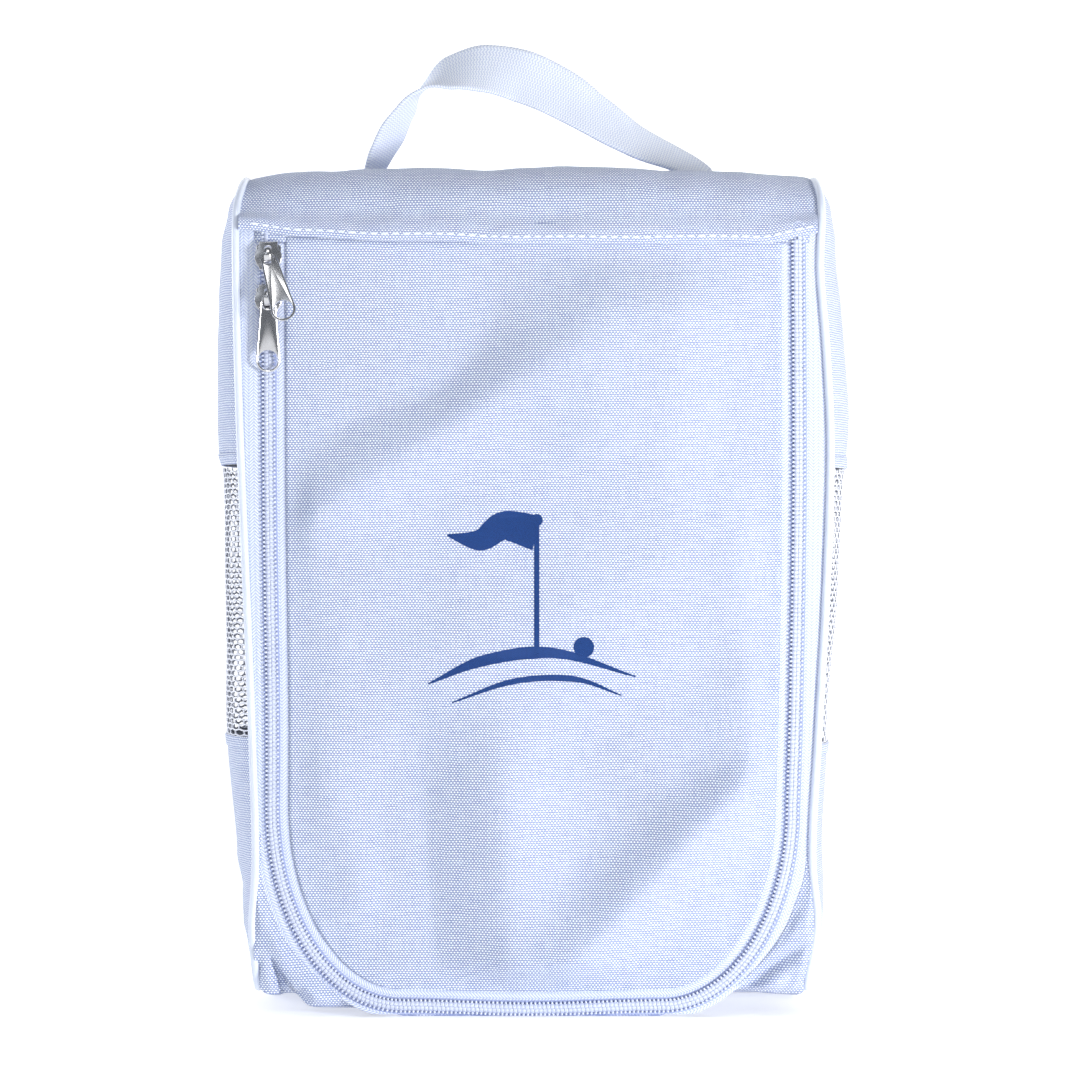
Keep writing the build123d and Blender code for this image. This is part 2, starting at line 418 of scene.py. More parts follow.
def groupNode(tree, group, vector, **values):
    node = tree.nodes.new("ShaderNodeGroup")
    node.node_tree = group
    tree.links.new(vector, node.inputs["Vector"])
    for label, value in values.items():
        node.inputs[label.replace("_", " ")].default_value = value
    return node.outputs


def coordinates(tree, kind):
    return tree.nodes.new("ShaderNodeTexCoord").outputs[kind]


def blendColours(tree, factor, low, high):
    node = tree.nodes.new("ShaderNodeMix")
    node.data_type = "RGBA"
    node.clamp_factor = True
    colour = [socket for socket in node.inputs if socket.type == "RGBA"]
    tree.links.new(factor, node.inputs["Factor"])
    for socket, value in zip(colour, (low, high)):
        if isinstance(value, tuple):
            socket.default_value = (*value, 1.0)
        else:
            tree.links.new(value, socket)
    return [socket for socket in node.outputs if socket.type == "RGBA"][0]


def tint(tree, colour, tone):
    node = tree.nodes.new("ShaderNodeHueSaturation")
    tree.links.new(colour, node.inputs["Color"])
    tree.links.new(tone, node.inputs["Value"])
    return node.outputs["Color"]


def addBump(tree, shader, height, strength, distance):
    node = tree.nodes.new("ShaderNodeBump")
    node.inputs["Strength"].default_value = strength
    node.inputs["Distance"].default_value = distance * mm
    tree.links.new(height, node.inputs["Height"])
    tree.links.new(node.outputs["Normal"], shader.inputs["Normal"])


# painted shadow colour for the deep gap beside the coil's beads
paintedGrooveShadow = (0.40, 0.46, 0.70)
# painted shade colour for the coil's deeper parts
paintedRecessShade = (0.56, 0.61, 0.78)


def colourAndGloss(tree, shader, colour, worn, spread, gloss):
    # The colour's tone drifts over the piece, and its roughness varies by the spread
    tree.links.new(tint(tree, colour, worn["Tone"]), shader.inputs["Base Color"])
    tree.links.new(mathNode(tree, "MULTIPLY_ADD", worn["Grain"], spread, gloss), shader.inputs["Roughness"])


def wovenCloth(name, gap, thread, roughness, sheen=0.25, depth=0.2):
    material, tree, shader = newMaterial(name)
    uv = coordinates(tree, "UV")
    place = coordinates(tree, "Object")
    weave = groupNode(tree, plainWeave, uv)
    worn = groupNode(tree, handling, place, Patch_size=0.06, Strength=0.10)
    contrast, threshold = 1.55, -0.18
    factor = mathNode(tree, "MULTIPLY_ADD", weave["Height"], contrast, threshold)
    # painted shade: where the weave is low, between the threads, the dark gap colour stands in for the shade
    # that falls there
    colour = blendColours(tree, factor, gap, thread)
    colourAndGloss(tree, shader, colour, worn, 0.15, roughness - 0.07)
    shader.inputs["Sheen Weight"].default_value = sheen
    shader.inputs["Specular IOR Level"].default_value = 0.3
    addBump(tree, shader, weave["Height"], 0.7, depth)
    return material


def wovenTape(name, groove, crest, ribWidth, ribPitch, slant=1.0, depth=0.14, seam=None):
    material, tree, shader = newMaterial(name)
    ribs = groupNode(tree, herringbone, coordinates(tree, "UV"), Rib_width=ribWidth * mm,
                     Rib_pitch=ribPitch * mm, Slant=slant)
    worn = groupNode(tree, handling, coordinates(tree, "Object"), Patch_size=0.03, Strength=0.06)
    # painted shade: the grooves between the ribs take the darker groove colour, standing in for their shade
    colour = blendColours(tree, ribs["Height"], groove, crest)
    if seam:
        # painted shadow: the row of thread that binds the coil gets a dark lavender band, standing in for the
        # shade in the deep gap beside the beads
        across = axes(tree, coordinates(tree, "UV"))["X"]
        middle, reach = (seam[0] + seam[1]) / 2 * mm, (seam[1] - seam[0]) / 2 * mm
        inGrooveShadow = mathNode(tree, "COMPARE", across, middle, reach)
        colour = blendColours(tree, inGrooveShadow, colour, paintedGrooveShadow)
    colourAndGloss(tree, shader, colour, worn, 0.2, 0.55)
    shader.inputs["Sheen Weight"].default_value = 0.15
    shader.inputs["Specular IOR Level"].default_value = 0.3
    addBump(tree, shader, ribs["Height"], 0.6, depth)
    return material


def plainFinish(name, low, high, roughness, metallic=0.0, coat=0.0, grain=0.05, patch=0.02, depth=0.02,
                strength=0.25, shadeFrontFrom=None):
    # Moulded, extruded or plated surfaces: tone patches, fine grain and uneven gloss
    material, tree, shader = newMaterial(name)
    place = coordinates(tree, "Object")
    worn = groupNode(tree, handling, place, Patch_size=patch, Strength=0.1)
    spots = noiseNode(tree, place, 1 / patch, 4.0, 0.6)
    colour = blendColours(tree, spots, low, high)
    if shadeFrontFrom:
        # painted shade: parts that lie deeper than this are darker, standing in for the shade on the coil's
        # bars between its beads
        fade = 0.25
        recessShadeMask = mathNode(tree, "MULTIPLY_ADD", axes(tree, place)["Y"], 1 / (fade * mm), shadeFrontFrom / fade)
        colour = blendColours(tree, recessShadeMask, colour, paintedRecessShade)
    colourAndGloss(tree, shader, colour, worn, grain, roughness - grain / 2)
    shader.inputs["Metallic"].default_value = metallic
    shader.inputs["Coat Weight"].default_value = coat
    shader.inputs["Coat Roughness"].default_value = 0.15
    addBump(tree, shader, worn["Grain"], strength, depth)
    return material


# In each weave below, the first colour is painted shade for the low places between the threads; the second is
# the thread's own colour
clothWhite = wovenCloth("white polyester weave", (0.13, 0.19, 0.46), (0.92, 0.965, 1.0), 0.7)
# the inside cloth is grey as painted shade for the bag's dim interior
shadedClothBack = plainFinish("cloth back with painted shade", (0.48, 0.50, 0.56), (0.56, 0.58, 0.64), 0.6)
clothPrint = wovenCloth("blue print on weave", (0.004, 0.012, 0.07), (0.007, 0.06, 0.27), 0.6, sheen=0.05,
                        depth=0.10)
# In each tape below, the first colour is painted shade for the grooves between the ribs; the second is the
# rib's own colour
tapeWhite = wovenTape("white zip tape", (0.36, 0.43, 0.70), (0.82, 0.865, 0.94), 2.1, 1.4, depth=0.2,
                      seam=(1.9, 3.5))
webbingWhite = wovenTape("white webbing", (0.50, 0.56, 0.77), (0.88, 0.92, 0.97), 1.3, 1.25, slant=0.6,
                         depth=0.22)
bindingWhite = wovenTape("white binding", (0.62, 0.64, 0.78), (0.9, 0.91, 0.96), 1.0, 0.9)
pipingGloss = plainFinish("glossy piping", (0.66, 0.72, 0.86), (0.74, 0.79, 0.90), 0.28, coat=0.4, grain=0.08)
# the coil's deeper parts get painted shade
coilNylon = plainFinish("coil nylon", (0.64, 0.69, 0.84), (0.78, 0.82, 0.93), 0.42, grain=0.12,
                        shadeFrontFrom=-(tapeY - 1.62))
threadWhite = plainFinish("sewing thread", (0.72, 0.77, 0.93), (0.88, 0.92, 1.0), 0.5, grain=0.2, patch=0.003)
yarnWhite = plainFinish("mesh yarn", (0.72, 0.74, 0.84), (0.88, 0.90, 0.96), 0.55, grain=0.2, patch=0.004)
coreWhite = plainFinish("piping core", (0.75, 0.75, 0.76), (0.82, 0.82, 0.83), 0.6)
nickel = plainFinish("polished nickel", (0.60, 0.60, 0.62), (0.72, 0.72, 0.73), 0.22, metallic=1.0,
                     grain=0.06, patch=0.006, depth=0.001, strength=0.02)
print("stage: materials made")


def newTree(name, inputs):
    tree = bpy.data.node_groups.new(name, "GeometryNodeTree")
    tree.interface.new_socket("Geometry", in_out="INPUT", socket_type="NodeSocketGeometry")
    for label, kind in inputs:
        tree.interface.new_socket(label, in_out="INPUT", socket_type=kind)
    tree.interface.new_socket("Geometry", in_out="OUTPUT", socket_type="NodeSocketGeometry")
    return tree, tree.nodes.new("NodeGroupInput").outputs, tree.nodes.new("NodeGroupOutput").inputs


def paintAndEnd(tree, geometry, material, out):
    # Copies become real geometry in the given material
    real = tree.nodes.new("GeometryNodeRealizeInstances")
    tree.links.new(geometry, real.inputs[0])
    paint = tree.nodes.new("GeometryNodeSetMaterial")
    tree.links.new(real.outputs[0], paint.inputs["Geometry"])
    tree.links.new(material, paint.inputs["Material"])
    tree.links.new(paint.outputs[0], out)


def makeRepeatTree():
    # Copies of one small mesh along a path; their Z follows the path's stored facing
    tree, given, out = newTree("repeatAlongPath", [
        ("Unit", "NodeSocketObject"),
        ("Pitch", "NodeSocketFloat"),
        ("Uneven", "NodeSocketFloat"),
        ("Seed", "NodeSocketInt"),
        ("Material", "NodeSocketMaterial"),
    ])
    node = tree.nodes.new
    link = tree.links.new
    curve = node("GeometryNodeMeshToCurve")
    link(given["Geometry"], curve.inputs["Mesh"])
    resample = node("GeometryNodeResampleCurve")
    resample.mode = "LENGTH"
    link(curve.outputs[0], resample.inputs["Curve"])
    link(given["Pitch"], resample.inputs["Length"])
    facing = node("GeometryNodeInputNamedAttribute")
    facing.data_type = "FLOAT_VECTOR"
    facing.inputs["Name"].default_value = "facing"
    alignX = node("FunctionNodeAlignRotationToVector")
    alignX.axis = "X"
    link(node("GeometryNodeInputTangent").outputs[0], alignX.inputs["Vector"])
    alignZ = node("FunctionNodeAlignRotationToVector")
    alignZ.axis = "Z"
    alignZ.pivot_axis = "X"
    link(alignX.outputs[0], alignZ.inputs["Rotation"])
    link(facing.outputs["Attribute"], alignZ.inputs["Vector"])
    unit = node("GeometryNodeObjectInfo")
    link(given["Unit"], unit.inputs["Object"])
    size = node("FunctionNodeRandomValue")
    size.data_type = "FLOAT"
    limits = {socket.name: socket for socket in size.inputs if socket.type == "VALUE"}
    link(mathNode(tree, "SUBTRACT", 1.0, given["Uneven"]), limits["Min"])
    link(mathNode(tree, "ADD", 1.0, given["Uneven"]), limits["Max"])
    link(given["Seed"], size.inputs["Seed"])
    place = node("GeometryNodeInstanceOnPoints")
    link(resample.outputs[0], place.inputs["Points"])
    link(unit.outputs["Geometry"], place.inputs["Instance"])
    link(alignZ.outputs[0], place.inputs["Rotation"])
    link([s for s in size.outputs if s.type == "VALUE"][0], place.inputs["Scale"])
    paintAndEnd(tree, place.outputs[0], given["Material"], out["Geometry"])
    return tree


def makeKnitTree():
    # Every edge of a net becomes a round yarn
    tree, given, out = newTree("knittedNet", [
        ("Yarn radius", "NodeSocketFloat"),
        ("Sides", "NodeSocketInt"),
        ("Material", "NodeSocketMaterial"),
    ])
    node = tree.nodes.new
    link = tree.links.new
    curve = node("GeometryNodeMeshToCurve")
    link(given["Geometry"], curve.inputs["Mesh"])
    ring = node("GeometryNodeCurvePrimitiveCircle")
    link(given["Sides"], ring.inputs["Resolution"])
    link(given["Yarn radius"], ring.inputs["Radius"])
    skin = node("GeometryNodeCurveToMesh")
    skin.inputs["Fill Caps"].default_value = True
    link(curve.outputs[0], skin.inputs["Curve"])
    link(ring.outputs["Curve"], skin.inputs["Profile Curve"])
    paintAndEnd(tree, skin.outputs[0], given["Material"], out["Geometry"])
    return tree


repeatTree = makeRepeatTree()
knitTree = makeKnitTree()


def runTree(piece, tree, values):
    # Sets the inputs by identifier, then keeps only the resulting plain mesh
    modifier = piece.modifiers.new("nodes", "NODES")
    modifier.node_group = tree
    for item in tree.interface.items_tree:
        if item.item_type == "SOCKET" and item.in_out == "INPUT" and item.name in values:
            modifier[item.identifier] = values[item.name]
    applyModifiers(piece)
    smoothed(piece.data)
    return piece


def repeatAlong(name, path, facings, unit, pitch, material, uneven=0.0, seed=1):
    piece = meshObject(name, path, [])
    piece.data.edges.add(len(path) - 1)
    for i, edge in enumerate(piece.data.edges):
        edge.vertices = (i, i + 1)
    stored = piece.data.attributes.new("facing", "FLOAT_VECTOR", "POINT")
    for i, facing in enumerate(facings):
        stored.data[i].vector = facing
    runTree(piece, repeatTree, {"Unit": unit, "Pitch": pitch * mm, "Uneven": uneven, "Seed": seed,
                                "Material": material})
    if not piece.data.materials:
        piece.data.materials.append(material)
    return piece


seams = dict(
    left=[(-121.5, 362), (-124.4, 353), (-126.0, 340), (-125.8, 305), (-124.3, 250), (-121.0, 170),
          (-119.2, 125), (-117.8, 82), (-117.7, 62), (-119.0, 34), (-118.2, 18), (-117.4, 9), (-116.6, 0)],
    right=[(119.5, 362), (122.6, 353), (123.4, 342), (122.6, 318), (125.2, 284), (127.0, 240), (125.0, 178),
           (121.6, 118), (119.2, 71), (121.4, 37), (119.6, 18), (118.0, 9), (116.6, 0)],
)
seamLines = {hand: smoothPath([(x, 0, z) for x, z in points], 2.0) for hand, points in seams.items()}


def xAt(line, z):
    # Where a line that runs downwards is at height z
    for a, b in zip(line, line[1:]):
        if a.z >= z >= b.z:
            return a.x + (b.x - a.x) * (a.z - z) / max(a.z - b.z, 1e-9)
    return line[0].x if z > line[0].z else line[-1].x


def seamX(hand, z):
    # Where the piping stands; the seams wander a little, as sewn ones do
    return xAt(seamLines[hand], z)


zipShape = dict(
    floor=5.0,
    legLeft=[(337, -112.3), (330, -112.2), (225, -111.9), (135, -110.6), (88, -110.6)],
    legRight=[(337, 113.0), (330, 113.0), (225, 113.4), (135, 112.0), (88, 110.6)],
    cornerAcross=55.0,
    cornerUp=84.0,
    bottomSag=1.3,
)


def zipCentreLine():
    # Down the left leg, round the bottom and up the right leg, on y = 0
    s, step = zipShape, 1.5
    left = smoothPath([(x, 0, z) for z, x in s["legLeft"]], step)
    right = smoothPath([(x, 0, z) for z, x in reversed(s["legRight"])], step)
    turnZ = s["floor"] + s["cornerUp"]
    left = [p for p in left if p.z > turnZ + 0.5]
    right = [p for p in right if p.z > turnZ + 0.5]
    leftX, rightX = left[-1].x, right[0].x

    def turn(x, inward):
        # A quarter of an ellipse from the leg down to the bottom run
        for a in (math.pi / 2 * k / 48 for k in range(49)):
            across = s["cornerAcross"] * (1 - math.cos(a))
            yield Vector((x + inward * across, 0, turnZ - s["cornerUp"] * math.sin(a)))

    points = left + list(turn(leftX, 1))
    start, end = points[-1].x, rightX - s["cornerAcross"]
    for k in range(1, 60):
        t = k / 60
        sag = s["bottomSag"] * math.sin(math.pi * t) ** 2
        points.append(Vector((start + (end - start) * t, 0, s["floor"] - sag)))
    points += list(turn(rightX, -1))[::-1] + right
    return evenly(points, step)


centreLine = zipCentreLine()


def sideways(path):
    # Unit vectors in the front plane, pointing away from the middle of the flap
    return [Vector((t.z, 0, -t.x)) for t in tangents(path)]


outwards = sideways(centreLine)


def zipOffset(spread, y):
    # The zip's line moved sideways, and kept off the ground
    lowest = 0.8
    pairs = zip(centreLine, outwards)
    return [Vector((p.x + n.x * spread, y, max(p.z + n.z * spread, lowest))) for p, n in pairs]


crownDrop = 3.2  # the piping lies lower than the puffed top


def bagOutline(inset, step=3.0):
    # The bag seen from the side, up the front, over the top, down the back and along the base
    nose, tail = frontY + inset, backY - inset
    base, crown = inset, crownZ - inset - crownDrop
    corners = [(nose, base, 14, 270, 180), (nose, crown, 28, 180, 90),
               (tail, crown, 28, 90, 0), (tail, base, 20, 0, -90)]
    points = []
    for y, z, radius, a0, a1 in corners:
        r = max(radius - inset, 1.0)
        cy = y + (r if y < 0 else -r)
        cz = z + (r if z < 100 else -r)
        for k in range(13):
            a = math.radians(a0 + (a1 - a0) * k / 12)
            points.append(Vector((0, cy + r * math.cos(a), cz + r * math.sin(a))))
    points.append(points[0].copy())
    return evenly(points, step)


flap = dict(
    setback=6.9,
    rows=150,
    columns=120,
    thickness=0.8,
    crown=3.2,
    folds=[
        (101, 112, 0, 4, 18, 14.5),
        (-9, 4, -13, 118, 21, 10.5),
        (-54, 4, -50, 122, 15, -3.4),
        (66, 98, 104, 120, 14, -3.4),
        (40, 335, 26, 240, 32, 9.0),
        (-58, 330, -36, 262, 22, -3.2),
        (-106, 206, 18, 286, 15, 6.4),
        (-96, 252, -20, 300, 14, -3.2),
        (60, 222, 64, 318, 17, 4.4),
        (-84, 112, -74, 228, 15, 1.2),
        (-34, 146, 76, 206, 24, 3.4),
        (16, 112, 92, 158, 17, -2.6),
        (-70, 44, -88, 108, 11, 2.4),
        (92, 130, 84, 222, 12, 2.2),
        (-112, 214, -10, 217, 3.0, 0.9),
        (96, 62, 88, 34, 5, -1.6),
    ],
)


def flapHalves():
    # The flap's left and right edges, each from the header down to the middle of its lower edge
    line = [p for p in zipOffset(-flap["setback"], 0) if p.z < foldZ + 3]
    middle = min(range(len(line)), key=lambda i: abs(line[i].x))
    halves = []
    for points in (line[:middle], line[middle:][::-1]):
        half = points[:1]
        for p in points[1:]:
            if p.z < half[-1].z - 0.02:
                half.append(p)
        halves.append(half)
    return halves


flapLeft, flapRight = flapHalves()


def lerpTable(table, value):
    for (a, fa), (b, fb) in zip(table, table[1:]):
        if value <= b:
            return fa + (fb - fa) * smoothStep(a, b, value)
    return table[-1][1]


def headerEdge(x):
    # The header's lower edge droops between its two ends
    edge = [(-124, 334.2), (-98, 330.8), (-50, 329.2), (8, 328.0), (96, 328.2), (122, 332.4)]
    return lerpTable(edge, x) + 0.25 * math.sin(x * 0.11)


def flapFront(x, z):
    # How far the cloth stands in front of the tapes' plane
    s = flap
    up = min(1, max(0, (z - 12) / 318))
    belly = s["crown"] * max(0.0, 1 - (x / 108) ** 2) ** 0.7 * max(0.0, math.sin(math.pi * up))
    height = max(0.2, belly + sum(ridge(x, z, fold) for fold in s["folds"]))
    height += 0.5 * noise.noise(Vector((x * 0.02, z * 0.02, 3.1)))
    height += 0.5 * noise.noise(Vector((x * 0.06, z * 0.05, 9.7)))
    return height


def edgePucker(x, z, distance):
    # Small gathers where the cloth is eased round the zip's turns
    wave = noise.noise(Vector((x * 0.09, z * 0.09, 21.0)))
    low = 1 - smoothStep(40, 95, z)
    return 1.1 * wave * low * math.exp(-distance / 9)


def makeFlap():
    s = flap
    low = min(flapLeft[-1].z, flapRight[-1].z)
    top = foldZ + 1.5
    shares = [1 - (1 - k / s["rows"]) ** 1.7 for k in range(s["rows"] + 1)]
    levels = [top + (flapLeft[-1].z - foldZ - 1.5) * share for share in shares]
    rows, uvRows = [], []
    for z in levels:
        left, right = xAt(flapLeft, z), xAt(flapRight, z)
        row, uvRow = [], []
        for j in range(s["columns"] + 1):
            t = j / s["columns"]
            t -= 0.06 * math.sin(2 * math.pi * t)
            x = left + (right - left) * t
            edge = min(x - left, right - x, z - low + 0.001)
            rise = smoothStep(0.0, 15.0, edge) * smoothStep(0, 34, top - z)
            fold = 1.15 * smoothStep(-0.1, 1.1, edge)
            y = tapeY - fold - rise * flapFront(x, z) - edgePucker(x, z, edge) * smoothStep(0, 3, edge)
            row.append(Vector((x, y, z)))
            uvRow.append((x * mm, z * mm))
        rows.append(row)
        uvRows.append(uvRow)
    return gridPiece("flap_cloth", rows, uvRows, facing=(0, -1, 0))


flapCloth = makeFlap()
flapSurface = surfaceOf(flapCloth)
finishCloth(flapCloth, flap["thickness"], "flap", "flap_panel")
print("stage: flap made")


def ribbon(name, near, far, y, thickness, facing=(0, -1, 0)):
    # A strip beside the zip, between two distances from its middle
    columns, rows, uvRows, run = 6, [], [], 0.0
    lines = [zipOffset(near + (far - near) * j / columns, y) for j in range(columns + 1)]
    for i in range(len(centreLine)):
        if centreLine[i].z > foldZ:
            continue
        run += (centreLine[i] - centreLine[i - 1]).length
        rows.append([line[i] for line in lines])
        uvRows.append([(abs(near + (far - near) * j / columns) * mm, run * mm) for j in range(columns + 1)])
    piece = gridPiece(name, rows, uvRows, facing=facing)
    return thicken(piece, thickness)


zipParts = dict(gap=0.35, coilReach=3.0, innerTape=13.0, outerTape=8.8, pitch=1.8, beadWidth=1.15)


def outerTapeReach(point):
    # The outer tape runs into the side seam on the legs, and a set way round the turns
    hand = "left" if point.x < 0 else "right"
    seam = abs(seamX(hand, point.z)) - abs(point.x) - 1.2
    leg = smoothStep(50, 76, point.z)
    turn = zipParts["outerTape"] - 3.2 * (1 - smoothStep(13, 44, point.z))
    return leg * max(seam, 5.0) + (1 - leg) * turn


def makeOuterTape():
    lowest = 1.2  # the tape turns under the bag instead of going below this
    columns, rows, uvRows = 8, [], []
    for p, n, run in zip(centreLine, outwards, runLengths(centreLine)):
        reach = outerTapeReach(p)
        row, uvRow = [], []
        for j in range(columns + 1):
            d = zipParts["gap"] + (reach - zipParts["gap"]) * j / columns
            z = p.z + n.z * d
            y = tapeY + 0.9 * max(0.0, lowest - z) - 0.4 * math.sin(math.pi * j / columns)
            row.append(Vector((p.x + n.x * d, y, max(z, lowest))))
            uvRow.append((d * mm, run * mm))
        rows.append(row)
        uvRows.append(uvRow)
    return thicken(gridPiece("zip_tape_outer_weave", rows, uvRows, facing=(0, -1, 0)), 0.6)


finishPiece(makeOuterTape(), "bag", "tape", "zip_tape_outer", material=tapeWhite)
innerTape = ribbon("zip_tape_inner_weave", -zipParts["gap"], -zipParts["innerTape"], tapeY, 0.6)
finishPiece(innerTape, "flap", "tape", "zip_tape_inner", material=tapeWhite)


def coilToothMesh(name, mirror):
    # One turn of the coil: a bead at the outer end and a low bar that meets its neighbours
    s = zipParts
    work = bmesh.new()
    bmesh.ops.create_uvsphere(work, u_segments=8, v_segments=5, radius=1.0)
    bmesh.ops.scale(work, vec=Vector((s["beadWidth"] / 2, 0.66, 1.2)), verts=work.verts)
    bmesh.ops.translate(work, vec=Vector((0, mirror * (s["coilReach"] - 0.62), 1.0)), verts=work.verts)
    half, inner, outer = s["pitch"] * 0.5, 0.0, s["coilReach"] - 1.05
    ring = [(-half, 0.2), (-half, 1.36), (-half * 0.4, 1.5), (half * 0.4, 1.5), (half, 1.36), (half, 0.2)]
    ends = [[work.verts.new((x, mirror * d, z - drop)) for x, z in ring]
            for d, drop in ((inner, 0.12), (inner + 0.5, 0.0), (outer, 0.2))]
    for a, b in zip(ends, ends[1:]):
        for k in range(6):
            work.faces.new((a[k], a[(k + 1) % 6], b[(k + 1) % 6], b[k]))
    work.faces.new(ends[0])
    work.faces.new(ends[-1][::-1])
    bmesh.ops.recalc_face_normals(work, faces=work.faces)
    bmesh.ops.scale(work, vec=Vector((mm, mm, mm)), verts=work.verts)
    return pieceFrom(name, work)


def makeCoil(name, mirror, body, node, start):
    unit = coilToothMesh(name + "_turn", mirror)
    line = [Vector((p.x, tapeY, p.z)) for p in centreLine if body == "bag" or p.z < foldZ]
    line[0] = line[0].lerp(line[1], start)
    piece = repeatAlong(name, line, [(0, -1, 0)] * len(line), unit, zipParts["pitch"], coilNylon)
    bpy.data.objects.remove(unit)
    finishPiece(piece, body, "coil", node, material=coilNylon)


makeCoil("zip_coil_outer_turns", -1, "bag", "zip_coil_outer", 0.0)
makeCoil("zip_coil_inner_turns", 1, "flap", "zip_coil_inner", 0.6)
print("stage: zip made")


piping = dict(radius=1.75, coreRadius=1.2, inset=1.0)


def cornerLift(y, z):
    # The empty bag's front corners stand clear of the ground
    return 10.0 * (1 - smoothStep(-50, 45, y)) * (1 - smoothStep(6, 70, z))


def pipingPath(hand, inset, reach=0.0):
    side = sides[hand]
    points = []
    for p in bagOutline(inset):
        x = seamX(hand, p.z) + side * reach
        points.append(Vector((x, p.y, max(p.z, piping["radius"] + 0.4) + cornerLift(p.y, p.z))))
    return points[:-1]


def makePiping(hand):
    path = pipingPath(hand, piping["inset"])
    across = Vector((1, 0, 0))
    cover = tube(f"piping_{hand}_sleeve", path, piping["radius"], 14, True, across)
    finishPiece(cover, "bag", "piping", f"piping_{hand}_cover", material=pipingGloss)
    core = tube(f"piping_{hand}_core", path, piping["coreRadius"], 8, True, across)
    finishPiece(core, "bag", "core", f"piping_{hand}_cord", material=coreWhite)


def makeSeamBinding(hand):
    side = sides[hand]
    outer = pipingPath(hand, 3.4, -2.0)
    outer.append(outer[0])
    rows, uvRows = [], []
    for p, run in zip(outer, runLengths(outer)):
        rows.append([Vector((p.x - side * d, p.y, p.z)) for d in (0, 2, 4, 6, 8)])
        uvRows.append([(d * mm, run * mm) for d in (0, 2, 4, 6, 8)])
    piece = thicken(gridPiece(f"binding_{hand}_strip", rows, uvRows), 0.7)
    finishPiece(piece, "bag", "binding", f"seam_binding_{hand}", material=bindingWhite)


for hand in ("left", "right"):
    makePiping(hand)
    makeSeamBinding(hand)
flapBinding = ribbon("flap_binding_strip", -9.5, -16.5, tapeY + 1.3, 0.5, facing=(0, 1, 0))
finishPiece(flapBinding, "flap", "binding", "flap_binding", material=bindingWhite)
print("stage: piping made")


cornerFloor = dict(  # how far the base is lifted, by the distance from the middle
    left=[(55, 0.3), (71, 6), (93, 7), (98, 9), (102, 12), (118, 14.5)],
    right=[(55, 0.3), (72, 9.5), (83, 12.5), (118, 14.5)],
)


wrap = dict(thickness=0.9, columns=96, puff=5.4)


def wrapPoint(line, i, t, puff, nudge):
    # A point of the wrap between the two seams; t runs from left to right
    p = line[i]
    left, right = seamX("left", p.z) + 1.3, seamX("right", p.z) - 1.3
    x = left + (right - left) * t
    before, after = line[max(i - 1, 0)], line[min(i + 1, len(line) - 1)]
    along = (after - before).normalized()
    out = Vector((0, along.z, -along.y))
    if out.dot(Vector((0, p.y, p.z - 180))) < 0:
        out = -out
    lift = puff * (math.sin(math.pi * t)) ** 0.5 + nudge(x, p.y, p.z)
    q = p + out * lift
    return Vector((x, q.y, q.z))


def makeWrapPanel(name, line, puff, nudge, facing):
    rows, uvRows = [], []
    for i, run in enumerate(runLengths(line)):
        row = [wrapPoint(line, i, j / wrap["columns"], puff, nudge) for j in range(wrap["columns"] + 1)]
        rows.append(row)
        uvRows.append([(q.x * mm, run * mm) for q in row])
    return gridPiece(name, rows, uvRows, facing=facing)


outline = bagOutline(0.6, 2.0)


def softNudge(seed, size):
    # Slow and quick unevenness of the cloth
    def nudge(x, y, z):
        slow = noise.noise(Vector((x * 0.025 + seed, y * 0.03, z * 0.025)))
        quick = noise.noise(Vector((x * 0.08, y * 0.08 + seed, z * 0.08)))
        return size * slow + 0.35 * size * quick

    return nudge


def makeTop():
    # From the header's lower edge over the shoulder and the top to the back seam
    path = [p for p in outline if p.z > foldZ - 3.5]
    rows, uvRows = [], []
    nudge = softNudge(4.0, 1.7)
    for i, (p, run) in enumerate(zip(path, runLengths(path))):
        row, uvRow = [], []
        for j in range(wrap["columns"] + 1):
            t = 0.5 - 0.5 * math.cos(math.pi * j / wrap["columns"])
            q = wrapPoint(path, i, t, wrap["puff"] * smoothStep(338, 357, p.z), nudge)
            if p.y < 0 and p.z < 345:
                # the lower edge follows the drooping fold line
                edge = headerEdge(q.x)
                blend = 1 - smoothStep(foldZ, 345, p.z)
                q.z += (edge - foldZ + 3.0) * blend
                q.y -= 2.0 * blend
            row.append(q)
            uvRow.append((q.x * mm, run * mm))
        rows.append(row)
        uvRows.append(uvRow)
    # the header's lower edge is folded back under itself
    tucked = [Vector((q.x, q.y + 2.3, q.z + 0.7)) for q in rows[0]]
    rolled = [Vector((q.x, q.y + 1.2, q.z - 0.6)) for q in rows[0]]
    rows = [tucked, rolled] + rows
    uvRows = [[(u, v - back) for u, v in uvRows[0]] for back in (0.0022, 0.001)] + uvRows
    piece = gridPiece("top_cloth", rows, uvRows, facing=(0, 0, 1))
    surface = surfaceOf(piece)
    return finishCloth(piece, wrap["thickness"], "bag", "top_panel"), surface


def makeBack():
    line = [p for p in outline if p.y > 0 and p.z < foldZ + 2 and not (p.z < 3 and p.y < 41)]
    piece = makeWrapPanel("back_cloth", line, 2.0, softNudge(11.0, 1.2), (0, 1, 0))
    finishCloth(piece, wrap["thickness"], "bag", "back_panel")


def makeBottom():
    rows, uvRows = [], []
    for i in range(41):
        y = frontY + 2.5 + (41 - frontY) * i / 40
        rows.append([])
        for j in range(61):
            x = -117 + 234 * j / 60
            lift = lerpTable(cornerFloor["left" if x < 0 else "right"], abs(x))
            lift *= 1 - smoothStep(-40, 45, y)
            rows[-1].append(Vector((x, y + 9.0 * smoothStep(60, 80, abs(x)) * (1 - i / 40), 0.25 + lift)))
        uvRows.append([(p.x * mm, p.y * mm) for p in rows[-1]])
    piece = gridPiece("bottom_cloth", rows, uvRows, facing=(0, 0, -1))
    finishCloth(piece, wrap["thickness"], "bag", "bottom_panel")


